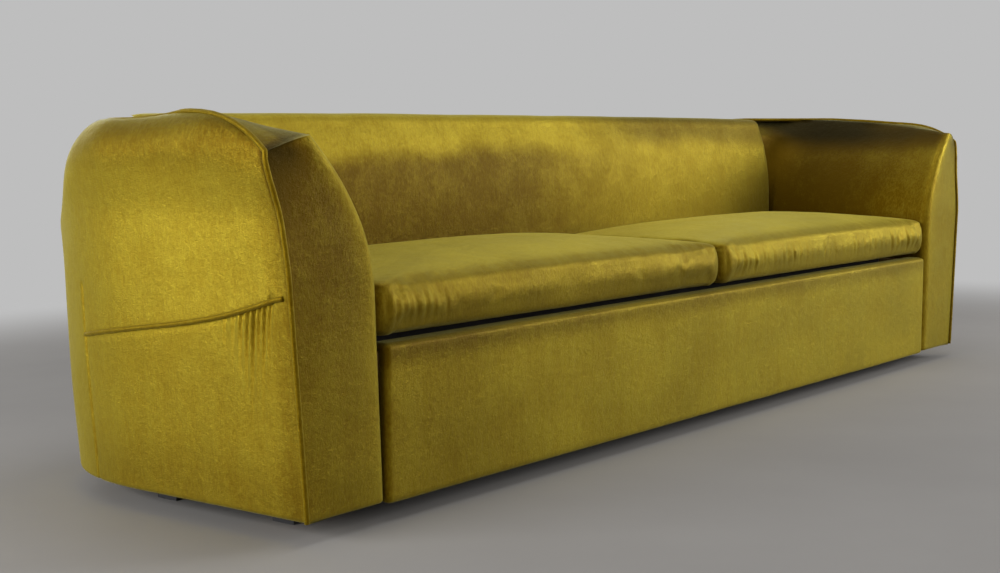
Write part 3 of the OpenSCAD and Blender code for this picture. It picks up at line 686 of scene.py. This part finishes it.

# %% [markdown]
# The inside back is a tight pad. It stands almost straight behind the cushions, leans back as it rises
# and rolls over the top to meet the piping. Its two ends stand a little proud of the shell's corners.
# Painted shade darkens it low down, most on the left, and high on the right, and a painted highlight
# runs along its top from the left to the middle.

# %% The back pad
pad_front_y = 486
pad_top = shell_h + 5
pad_half = inside_end - 4
pad_roll = 24
roll_up = pad_top - pad_roll


def pad_front(up):
    return pad_front_y + 46 * np.clip((up / shell_h - 0.59) / 0.41, 0, 1) ** 2.8


roll_start = pad_front(roll_up)
pad_outline = [(pad_front(up), up) for up in np.linspace(ledge_h, roll_up, 40)]
pad_outline += [(roll_start + pad_roll * (1 - math.cos(a)), roll_up + pad_roll * math.sin(a))
                for a in np.radians(np.linspace(10, 90, 9))]
pad_outline += [(crest_y - 30, pad_top - 1), (crest_y - 12, pad_top - 3), (crest_y - 9, shell_h + 1)]
pad_outline += [(wall_at(up) - 0.5, up + 2.4) for up in np.linspace(top_share, 0.8, 8) * shell_h]
pad_outline += [(wall_y - 1, ledge_h)]
back_pad = long_block("back_pad_cover", pad_outline, pad_half, 12)
remeshed(back_pad, 8)
relaxed(back_pad, times=3)
finer(back_pad)
pattern = pattern_of(back_pad)
x, deep, up = pattern.T
front_side = smooth(crest_y - 40, crest_y - 90, deep)
hollow = 1.6 * slow(pattern, 300, 7) + 0.5 * slow(pattern, 90, 9)
edge_pull = np.abs(slow(pattern * np.array([1, 0.3, 0.3]), 26, 11))
edge_pull *= smooth(pad_half - 90, pad_half, np.abs(x))
push(back_pad, (hollow - edge_pull) * front_side)
points = places(back_pad)
points[:, 2] += 4 * MM * (1 - (x / pad_half) ** 2) * smooth(shell_h - 120, shell_h, up)
set_places(back_pad, points)
# Painted shade low down, most on the left, and high on the right; a painted highlight along the top
# from the left to the middle.
across, up = x + 90 * slow(pattern, 240, 41), up + 30 * slow(pattern, 200, 43)
low, high = smooth(605, 545, up), smooth(560, 612, up)
pad_painted_light = 0.75 * low * smooth(500, -200, across) + 0.1 * low
pad_painted_light += 0.7 * high * smooth(150, 450, across) - 0.15 * high * smooth(450, 50, across)
paint_light_and_shade(back_pad, pad_painted_light)
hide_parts("back_pad")
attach(back_pad, "sofa")
print("back pad points:", len(back_pad.data.vertices))

# %% [markdown]
# The front rail is a board under a layer of wadding, covered in the same velvet. Its top edge is soft
# and its two ends tuck in behind the arms, which leaves a fine shadow line.

# %% The front rail
rail_h = 270
rail_t = 45
rail_half = inside_x - 3
rail_round = 9
rail_drop = 6
rail_back = 24.5
lip = rail_h - 5.7
rail_outline = [(0, 3 - rail_drop), (0, 120)]
rail_outline += [(rail_round * (1 + math.cos(a)), rail_h - rail_round * (1 - math.sin(a)))
                 for a in np.radians(np.linspace(180, 90, 7))]
rail_outline += [(rail_t, rail_h), (rail_t, lip), (rail_back, lip)]
rail_outline += [(rail_back, 0.5 - rail_drop), (3, -rail_drop)]
rail = long_block("front_rail_cover", rail_outline, rail_half, 9)
remeshed(rail, 6)
relaxed(rail, times=2)
pattern = pattern_of(rail)
x, deep, up = pattern.T
pull = slow(pattern * np.array([1, 1, 0.15]), 34, 13) * 0.35 * smooth(rail_h, rail_h - 120, up)
push(rail, smooth(20, 6, deep) * (1.1 * slow(pattern, 240, 15) + pull))
# Painted shadow along the top edge under the cushions, painted shade towards the left end, and a random
# tone.
rail_painted_light = 0.6 * smooth(215, 262, up) + 0.25 * smooth(-500, -1000, x) - 0.12
rail_painted_light += 0.25 * slow(pattern * np.array([0.6, 1, 1]), 130, 47)
paint_light_and_shade(rail, rail_painted_light)
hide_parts("front_panel")
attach(rail, "sofa")
print("front rail points:", len(rail.data.vertices))

# %% [markdown]
# A seat cushion is a foam core in a boxed velvet cover: a top, a bottom and a strip sewn between them.
# The cover is cut a little larger than the foam, so it swells between its seams and the strip gathers.
# The swelling is simulated as cloth under pressure. Seams and gathers are pressed in afterwards, where
# a voxel is too coarse.

# %% Cloth under pressure
def swelled(piece, pressure, most_mm, frames=20):
    """Lets the piece swell as cloth, then keeps each point within most_mm of its start."""
    before = places(piece)
    cloth = piece.modifiers.new("cloth", "CLOTH")
    cloth.settings.use_pressure = True
    cloth.settings.uniform_pressure_force = pressure
    cloth.settings.effector_weights.gravity = 0
    cloth.settings.quality = 3
    cloth.settings.tension_stiffness = 18
    cloth.settings.compression_stiffness = 12
    cloth.settings.bending_stiffness = 1.2
    cloth.settings.shrink_min = -0.012
    cloth.collision_settings.use_collision = False
    cloth.point_cache.frame_start = 1
    cloth.point_cache.frame_end = frames
    scene = bpy.context.scene
    for f in range(1, frames + 1):
        scene.frame_set(f)
    apply_all(piece)
    scene.frame_set(1)
    moved = places(piece) - before
    length = np.linalg.norm(moved, axis=1)
    keep = np.minimum(1, most_mm * MM / np.maximum(length, 1e-9))
    set_places(piece, before + moved * keep[:, None])
    return piece


def fitted(piece, node, grow_mm=0.0, axes=(0, 1, 2)):
    """Scales the piece to the box of the solid that it stands for, plus a little cloth."""
    low, high = (np.array(v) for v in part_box(node))
    points = places(piece)
    for k in axes:
        lo, hi = points[:, k].min(), points[:, k].max()
        want_lo, want_hi = low[k] - grow_mm * MM, high[k] + grow_mm * MM
        points[:, k] = want_lo + (points[:, k] - lo) * (want_hi - want_lo) / (hi - lo)
    set_places(piece, points)
    return piece


print("cloth helper ready")

# %% The seat cushions
crown_more = 13
front_more = 6
cushion_t = 86
cushion_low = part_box("right_cushion")[0]
cushion_base = (cushion_low.z - under_z) / MM


def copy_of(node, name):
    """A new piece with the same mesh as a solid of the model."""
    piece = bpy.data.objects.new(name, nodes[node].data.copy())
    piece.data.materials.clear()
    bpy.context.scene.collection.objects.link(piece)
    return piece


def gathers(pattern, starts, depths, widths, leans):
    """Vertical creases in the front strip of a cushion, deepest half way up."""
    x, y, up = pattern.T
    level, spread = cushion_base + 50, 30
    front = smooth(26, 10, y)
    move = np.zeros(len(x))
    for at, deep, wide, lean in zip(starts, depths, widths, leans):
        line = at + lean * (up - level)
        fold = np.exp(-((x - line) / wide) ** 2)
        fold -= 0.45 * np.exp(-((x - line - 2.1 * wide) / (1.3 * wide)) ** 2)
        move -= deep * fold * np.exp(-((up - level) / spread) ** 2)
    return move * front


def seat_cushion(name, node, side):
    right = side > 0
    rng = np.random.default_rng(11 if right else 5)
    piece = copy_of(node, name)
    remeshed(piece, 8)
    relaxed(piece, times=1)
    swelled(piece, 2.0, 7)
    relaxed(piece, times=2)
    fitted(piece, node, grow_mm=0.5, axes=(0, 1))
    finer(piece)
    pattern = pattern_of(piece)
    x, y, up = pattern.T
    rise = up - cushion_base
    from_mid = [(v - (v.max() + v.min()) / 2) / (np.ptp(v) / 2) for v in (x, y)]
    at_rim = smooth(0.93, 0.985, np.max(np.abs(from_mid), axis=0))
    move = 1.2 * slow(pattern, 190, 17 + side) + 0.4 * slow(pattern, 60, 19 + side)
    for level in (5, cushion_t - 6):
        move -= 1.8 * np.exp(-((rise - level) / 4.0) ** 2) * at_rim
    count = 34 if right else 9
    reach = (x.min() + 25, x.max() - 25) if right else (x.min() + 15, x.min() + 190)
    starts = np.linspace(*reach, count) + rng.uniform(-9, 9, count)
    depths = rng.uniform(1.2, 4.8, count) * (1.0 if right else 0.5)
    widths = rng.uniform(4.0, 6.5, count)
    leans = rng.uniform(-0.25, 0.05, count)
    move += gathers(pattern, starts, depths, widths, leans)
    push(piece, move)
    points = places(piece)
    points[:, 1] -= front_more * MM * smooth(90, 20, y)
    dome = (1 - from_mid[0] ** 2) * (1 - from_mid[1] ** 2)
    points[:, 2] += crown_more * MM * np.maximum(dome, 0) * smooth(20, cushion_t - 10, rise)
    points[:, 2] = np.maximum(points[:, 2], cushion_low.z)
    set_places(piece, points)
    # Painted highlight on the level top behind the front edge, painted shade on the sides and the front
    # strip, lighter on the right cushion, with a random tone.
    level = smooth(0.75, 0.95, normals(piece)[:, 2]) * smooth(10, 70, y)
    paint_light_and_shade(piece, 0.3 - 0.15 * right + 0.2 * slow(pattern, 110, 51) - 0.75 * level)
    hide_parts(node)
    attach(piece, node)
    return piece


cushions = [seat_cushion("seat_cushion_left", "left_cushion", -1),
            seat_cushion("seat_cushion_right", "right_cushion", 1)]
print("cushion points:", [len(c.data.vertices) for c in cushions])

# %% [markdown]
# The bed is three foam slabs, each in a cotton cover that is quilted on both faces. A black cloth on
# their upright sides is painted shade for the dark gap under the cushions. The middle one is cut at an
# angle where it turns over the inner one. Quilting is a shallow grid of stitched lines, pressed in
# along the normal.

# %% The mattress sections
def quilted(piece, pitch, deep):
    pattern = pattern_of(piece)
    x, y = pattern[:, 0], pattern[:, 1]
    flat = np.abs(normals(piece)[:, 2]) ** 4
    a, b = (np.abs((way / pitch) % 1 - 0.5) * 2 for way in (x + y, x - y))
    near = np.exp(-((1 - np.maximum(a, b)) * pitch / 14) ** 2)
    push(piece, -deep * near * flat + 0.6 * slow(pattern, 120, 23))


def mattress(name, node, body):
    piece = copy_of(node, name)
    remeshed(piece, 11)
    relaxed(piece, times=2)
    swelled(piece, 3.0, 8, frames=10)
    fitted(piece, node)
    quilted(piece, 130, 3.0)
    fitted(piece, node)
    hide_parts(node)
    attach(piece, body)
    return piece


mattresses = [mattress(f"mattress_{part}", f"{part}_mattress", f"{part}_section")
              for part in ("inner", "middle", "foot")]
print("mattress points:", [len(m.data.vertices) for m in mattresses])

# %% [markdown]
# Velvet is a dense pile of short threads. Seen straight on it is deep and dark, because the eye looks
# down between the threads, and seen along the surface it is pale and bright. Where hands or sitters
# have brushed the pile, it lies another way and shows as soft patches and streaks. The node group below
# puts out those masks in the frame's own metres, so the marks on every piece have the same real size.

# %% The nap of the velvet as a node group
def link(tree, source, socket):
    """Feeds a socket from another node's output, or sets it to a plain number or colour."""
    if isinstance(source, bpy.types.NodeSocket):
        tree.links.new(source, socket)
    else:
        socket.default_value = source


def link_all(tree, sources, sockets):
    for source, socket in zip(sources, sockets):
        link(tree, source, socket)


def new_node(tree, kind, **inputs):
    """A node with its inputs filled. An underscore stands for the space in an input's name."""
    node = tree.nodes.new("ShaderNode" + kind)
    for label, value in inputs.items():
        link(tree, value, node.inputs[label.replace("_", " ")])
    return node


def noise_node(tree, vector, scale, detail=3.0, rough=0.55):
    node = new_node(tree, "TexNoise", Vector=vector, Scale=scale, Detail=detail, Roughness=rough)
    return node.outputs["Fac"]


def stretched(tree, vector, scale_xyz):
    return new_node(tree, "Mapping", Vector=vector, Scale=scale_xyz).outputs["Vector"]


def math_node(tree, operation, *values):
    node = tree.nodes.new("ShaderNodeMath")
    node.operation = operation
    link_all(tree, values, node.inputs)
    return node.outputs[0]


def weighted(tree, *shares):
    """The sum of some masks, each times its own share."""
    total = 0.0
    for mask, share in shares:
        total = math_node(tree, "MULTIPLY_ADD", mask, share, total)
    return total


def remap(tree, value, low, high, to_low=0.0, to_high=1.0):
    node = tree.nodes.new("ShaderNodeMapRange")
    node.interpolation_type = "SMOOTHSTEP"
    link_all(tree, (value, low, high, to_low, to_high), node.inputs)
    return node.outputs["Result"]


nap = bpy.data.node_groups.new("velvet_nap", "ShaderNodeTree")
nap.interface.new_socket("Vector", in_out="INPUT", socket_type="NodeSocketVector")
nap.interface.new_socket("Patch scale", in_out="INPUT", socket_type="NodeSocketFloat")
for mask in ("Patches", "Streaks", "Grain", "Pile"):
    nap.interface.new_socket(mask, in_out="OUTPUT", socket_type="NodeSocketFloat")
nap_in, nap_out = nap.nodes.new("NodeGroupInput"), nap.nodes.new("NodeGroupOutput")
at = nap_in.outputs["Vector"]
patches = noise_node(nap, at, nap_in.outputs["Patch scale"], detail=4, rough=0.6)
fine_patches = noise_node(nap, at, 70, detail=5, rough=0.7)
both = weighted(nap, (patches, 0.6), (fine_patches, 0.4))
streaks = noise_node(nap, stretched(nap, at, (60, 60, 6)), 1.0, detail=5, rough=0.6)
grain = noise_node(nap, stretched(nap, at, (230, 230, 90)), 1.0, detail=4, rough=0.7)
threads = noise_node(nap, at, 900, detail=2), noise_node(nap, at, 240, detail=3)
link(nap, remap(nap, both, 0.36, 0.64), nap_out.inputs["Patches"])
link(nap, remap(nap, streaks, 0.35, 0.68), nap_out.inputs["Streaks"])
link(nap, remap(nap, grain, 0.36, 0.64), nap_out.inputs["Grain"])
link(nap, weighted(nap, (threads[0], 1.0), (threads[1], 0.8)), nap_out.inputs["Pile"])
print("group outputs:", [s.name for s in nap_out.inputs if s.name])

# %% [markdown]
# A colour is written as on a colour card and turned into the linear values that a shader takes. What
# is the same all over a surface is set on the shader itself. Only what changes from place to place is
# linked.

# %% Material helpers
def srgb(r, g, b):
    linear = [c / 255 / 12.92 if c <= 10 else ((c / 255 + 0.055) / 1.055) ** 2.4 for c in (r, g, b)]
    return (*linear, 1.0)


def new_material(name, **settings):
    material = bpy.data.materials.new(name)
    material.use_nodes = True
    tree = material.node_tree
    tree.nodes.clear()
    shader = new_node(tree, "BsdfPrincipled", **settings)
    new_node(tree, "OutputMaterial", Surface=shader.outputs[0])
    where = new_node(tree, "TexCoord").outputs["Object"]
    return material, tree, shader, where


def mixed(tree, factor, a, b, blend="MIX"):
    node = tree.nodes.new("ShaderNodeMix")
    node.data_type = "RGBA"
    node.blend_type = blend
    link(tree, factor, node.inputs["Factor"])
    link_all(tree, (a, b), [s for s in node.inputs if s.type == "RGBA"])
    return [s for s in node.outputs if s.type == "RGBA"][0]


def bumped(tree, height, shader, strength, distance_mm):
    node = new_node(tree, "Bump", Strength=strength, Distance=distance_mm * MM, Height=height)
    link(tree, node.outputs["Normal"], shader.inputs["Normal"])


print("mid grey in linear light:", round(srgb(128, 128, 128)[0], 3))

# %% [markdown]
# The velvet's colour runs from deep to pale with the masks of its own tone, with a painted sheen that
# pales it where the surface turns away from the eye, and with the painted shade and painted highlight
# stored on each piece. A little metal and sheen give the bright edge that a pile has.

# %% The velvet
def velvet(name, deep, worn_and_sheen, tint, patch_scale=14.0):
    material, tree, shader, where = new_material(
        name, Metallic=0.5, Specular_IOR_Level=0.15, Specular_Tint=tint, Sheen_Weight=0.26,
        Sheen_Roughness=0.4, Sheen_Tint=tint)
    marks = tree.nodes.new("ShaderNodeGroup")
    marks.node_tree = nap
    marks.inputs["Patch scale"].default_value = patch_scale
    link(tree, where, marks.inputs["Vector"])
    patches, streaks, grain, pile = marks.outputs
    # Painted sheen: the colour pales where the surface turns away from the eye.
    facing = new_node(tree, "LayerWeight", Blend=0.35).outputs["Facing"]
    painted = new_node(tree, "Attribute")
    painted.attribute_name = "painted_light_and_shade"
    painted_light = painted.outputs["Fac"]
    # The mix takes the velvet's own tone from the masks, the painted sheen and the painted light and
    # shade stored on each piece.
    tone_and_painted_light = weighted(tree, (patches, 0.12), (streaks, 0.06), (grain, 0.16), (facing, 0.65),
                   (painted_light, -0.3))
    tone_and_painted_light.node.use_clamp = True
    # The painted shade and highlight also scale the colour down or up.
    darker = math_node(tree, "MULTIPLY_ADD", painted_light, -0.5, 1.0)
    colour = mixed(tree, 1.0, mixed(tree, tone_and_painted_light, deep, worn_and_sheen), darker, "MULTIPLY")
    link(tree, colour, shader.inputs["Base Color"])
    link(tree, remap(tree, patches, 0, 1, 0.44, 0.33), shader.inputs["Roughness"])
    bumped(tree, math_node(tree, "ADD", pile, patches), shader, 0.55, 1.1)
    return material


velvet_gold = velvet("gold_velvet", srgb(112, 83, 0), srgb(186, 170, 52), srgb(220, 214, 138))
# The piping's velvet is set darker than the body's, as painted shade along the seams.
velvet_trim = velvet("gold_velvet_piping", srgb(96, 70, 0), srgb(160, 140, 34), srgb(206, 194, 106), 30)
covers, cords = (shell, back_pad, rail, *cushions), (piping, pocket)
for piece in covers + cords:
    piece.data.materials.append(velvet_gold if piece in covers else velvet_trim)
print("velvet on", len(covers + cords), "pieces")

# %% [markdown]
# The hidden side of the sofa is plain: black cloth stapled under the base, a woven deck under each
# mattress, softwood boards, powder coated tubes and zinc plated pins. Each still gets its own weave,
# grain or plating, because the bed shows all of it when it is open.

# %% Plain finishes
def woven(name, warp_colour, weft_colour, threads_per_m):
    material, tree, shader, where = new_material(name, Roughness=0.85, Sheen_Weight=0.15)
    threads = []
    for direction in ("X", "Y"):
        wave = new_node(tree, "TexWave", Vector=where, Scale=threads_per_m / 2, Distortion=0.3)
        wave.bands_direction = direction
        threads.append(wave.outputs["Fac"])
    weave = math_node(tree, "MULTIPLY", *threads)
    tone = weighted(tree, (weave, 0.5), (noise_node(tree, where, 6, detail=4), 0.5))
    link(tree, mixed(tree, tone, warp_colour, weft_colour), shader.inputs["Base Color"])
    bumped(tree, weave, shader, 0.25, 0.3)
    return material


def timber():
    material, tree, shader, where = new_material("softwood")
    grain = noise_node(tree, stretched(tree, where, (3, 26, 26)), 1.0, detail=6, rough=0.65)
    fine = noise_node(tree, stretched(tree, where, (10, 300, 300)), 1.0)
    tone = remap(tree, weighted(tree, (grain, 0.75), (fine, 0.25)), 0.35, 0.66)
    colour = mixed(tree, tone, srgb(176, 132, 78), srgb(222, 188, 134))
    link(tree, colour, shader.inputs["Base Color"])
    link(tree, remap(tree, fine, 0.3, 0.7, 0.5, 0.68), shader.inputs["Roughness"])
    bumped(tree, fine, shader, 0.2, 0.3)
    return material


def plain(name, dark, light, scale, detail, rough=None, relief=None, **settings):
    """One noise is the tone, and the gloss where rough gives a range. A finer one is the relief."""
    material, tree, shader, where = new_material(name, **settings)
    tone = noise_node(tree, stretched(tree, where, scale), 1.0, detail=detail)
    link(tree, mixed(tree, tone, dark, light), shader.inputs["Base Color"])
    if rough:
        link(tree, remap(tree, tone, 0.3, 0.7, *rough), shader.inputs["Roughness"])
    if relief:
        fine_scale, strength, distance_mm = relief
        bumped(tree, noise_node(tree, where, fine_scale, detail=2), shader, strength, distance_mm)
    return material


ticking = woven("cotton_ticking", srgb(214, 208, 192), srgb(240, 236, 224), 900)
dark_cloth = woven("black_cambric", srgb(24, 20, 17), srgb(46, 40, 35), 700)
softwood = timber()
powder_coat = plain("grey_powder_coat", srgb(74, 77, 81), srgb(98, 101, 105), (14, 14, 14), 4,
                    rough=(0.36, 0.5), relief=(420, 0.15, 0.25))
zinc_plate = plain("zinc_plate", srgb(176, 179, 184), srgb(208, 210, 213), (40, 900, 900), 3,
                   rough=(0.28, 0.45), Metallic=1.0)
plastic = plain("black_plastic", srgb(26, 26, 28), srgb(40, 40, 42), (30, 30, 30), 3,
                relief=(700, 0.15, 0.15), Roughness=0.5)
# The upright faces of the mattresses get the black cloth as painted shade for the gap under the
# cushions.
upright = 0.9
for piece in mattresses:
    piece.data.materials.append(ticking)
    piece.data.materials.append(dark_cloth)
    for face in piece.data.polygons:
        face.material_index = int(abs(face.normal.z) < upright)
finish_of = {"timber": softwood, "grey_steel": powder_coat, "zinc_steel": zinc_plate,
             "dark_cloth": dark_cloth, "black_plastic": plastic, "mattress_cover": ticking,
             "velvet": velvet_gold, "velvet_piping": velvet_trim}
for part in frame["record"]["subparts"]:
    solid = nodes[part["node"]]
    solid.data.materials.clear()
    solid.data.materials.append(finish_of[part["material_slot"]])
print("finishes:", ", ".join(finish_of))

# %% [markdown]
# The scene around the sofa is plain: a flat pale floor that keeps the shadow, and a pale world behind
# it. The floor brightens into the same grey further out, so no horizon line shows. Only the camera and
# what mirrors to it see that grey, so velvet and steel show the background but aren't lit by it.
# The camera stands where the photograph was taken from: low, before the left arm, looking along the
# front.

# %% Floor and background
def seen_ray(tree):
    """1 for the camera's rays and for those that mirror or pass through to it, 0 for the rest."""
    path = new_node(tree, "LightPath").outputs
    mirrored = math_node(tree, "MAXIMUM", path["Is Glossy Ray"], path["Is Transmission Ray"])
    return math_node(tree, "MAXIMUM", path["Is Camera Ray"], mirrored)


def either(tree, factor, near, far, output):
    """Shows one shader or the other by the factor."""
    blend = new_node(tree, "MixShader")
    link_all(tree, (factor, near.outputs[0], far.outputs[0]), blend.inputs)
    link(tree, blend.outputs[0], tree.nodes[output].inputs["Surface"])


floor_reach = 14.0
fade_from, fade_to = 3.2, 9.0
background_grey = srgb(190, 190, 190)
corners = [(x * floor_reach, y * floor_reach, 0) for x, y in ((-1, -1), (1, -1), (1, 1), (-1, 1))]
floor = mesh_object("pale_floor", corners, [(0, 1, 2, 3)])
pale, tree, shader, where = new_material("pale_floor", Roughness=0.8)
cloudy = noise_node(tree, where, 1.4, detail=6)
concrete = mixed(tree, cloudy, srgb(145, 142, 139), srgb(164, 161, 158))
link(tree, concrete, shader.inputs["Base Color"])
split = new_node(tree, "SeparateXYZ", Vector=where)
across_2, back_2 = (math_node(tree, "POWER", split.outputs[axis], 2.0) for axis in "XY")
away = weighted(tree, (across_2, 0.6), (back_2, 1.0))
fade = math_node(tree, "MULTIPLY", remap(tree, away, fade_from, fade_to), seen_ray(tree))
glow = new_node(tree, "Emission", Color=background_grey)
either(tree, fade, shader, glow, "Material Output")
floor.data.materials.append(pale)
print("floor ready")

# %% Light
def area_light(name, place, aim, size, power):
    data = bpy.data.lights.new(name, "AREA")
    data.shape = "RECTANGLE"
    data.size, data.size_y = size
    data.energy = power
    lamp = bpy.data.objects.new(name, data)
    bpy.context.scene.collection.objects.link(lamp)
    lamp.location = place
    lamp.visible_camera = False
    lamp.rotation_mode = "QUATERNION"
    lamp.rotation_quaternion = (Vector(aim) - Vector(place)).to_track_quat("-Z", "Y")


area_light("curtain_left", (-4.5, 0.9, 1.2), (-1.4, 0.0, 0.45), (2.6, 1.5), 135)
area_light("ceiling_soft", (0.4, -0.6, 4.0), (0.1, 0.1, 0.3), (3.6, 2.0), 48)
area_light("window_right", (4.0, -3.4, 1.9), (0.6, 0.0, 0.35), (2.2, 1.8), 140)
area_light("wall_behind", (0.6, 4.6, 1.8), (0, 0.4, 0.4), (3.0, 1.6), 30)
area_light("front_fill", (-1.0, -4.8, 1.2), (0.2, 0, 0.2), (3.0, 1.4), 26)
world = bpy.data.worlds.new("studio")
bpy.context.scene.world = world
world.use_nodes = True
sky = world.node_tree
lit = sky.nodes["Background"]
lit.inputs["Color"].default_value = (1, 1, 1, 1)
lit.inputs["Strength"].default_value = 0.12
behind = new_node(sky, "Background", Color=background_grey)
either(sky, seen_ray(sky), lit, behind, "World Output")
bpy.context.scene.view_settings.view_transform = "Standard"

# %% Camera
image_width = 1000
focal_pixels = 1570.74
sensor_mm = 36
camera_mm = (-3121.9, -1738.2, 620)
yaw, pitch, roll = 0.9198, 0.0962, math.radians(0.17)
camera_data = bpy.data.cameras.new("camera")
camera_data.sensor_width = sensor_mm
camera_data.lens = sensor_mm * focal_pixels / image_width
camera = bpy.data.objects.new("camera", camera_data)
bpy.context.scene.collection.objects.link(camera)
camera.location = to_frame(camera_mm)
level = math.cos(pitch)
looking = Vector((math.sin(yaw) * level, math.cos(yaw) * level, -math.sin(pitch)))
camera.rotation_mode = "QUATERNION"
camera.rotation_quaternion = Quaternion(looking, roll) @ looking.to_track_quat("-Z", "Y")
camera_data.clip_end = 60
bpy.context.scene.camera = camera
print("lens", round(camera_data.lens, 2), "mm")
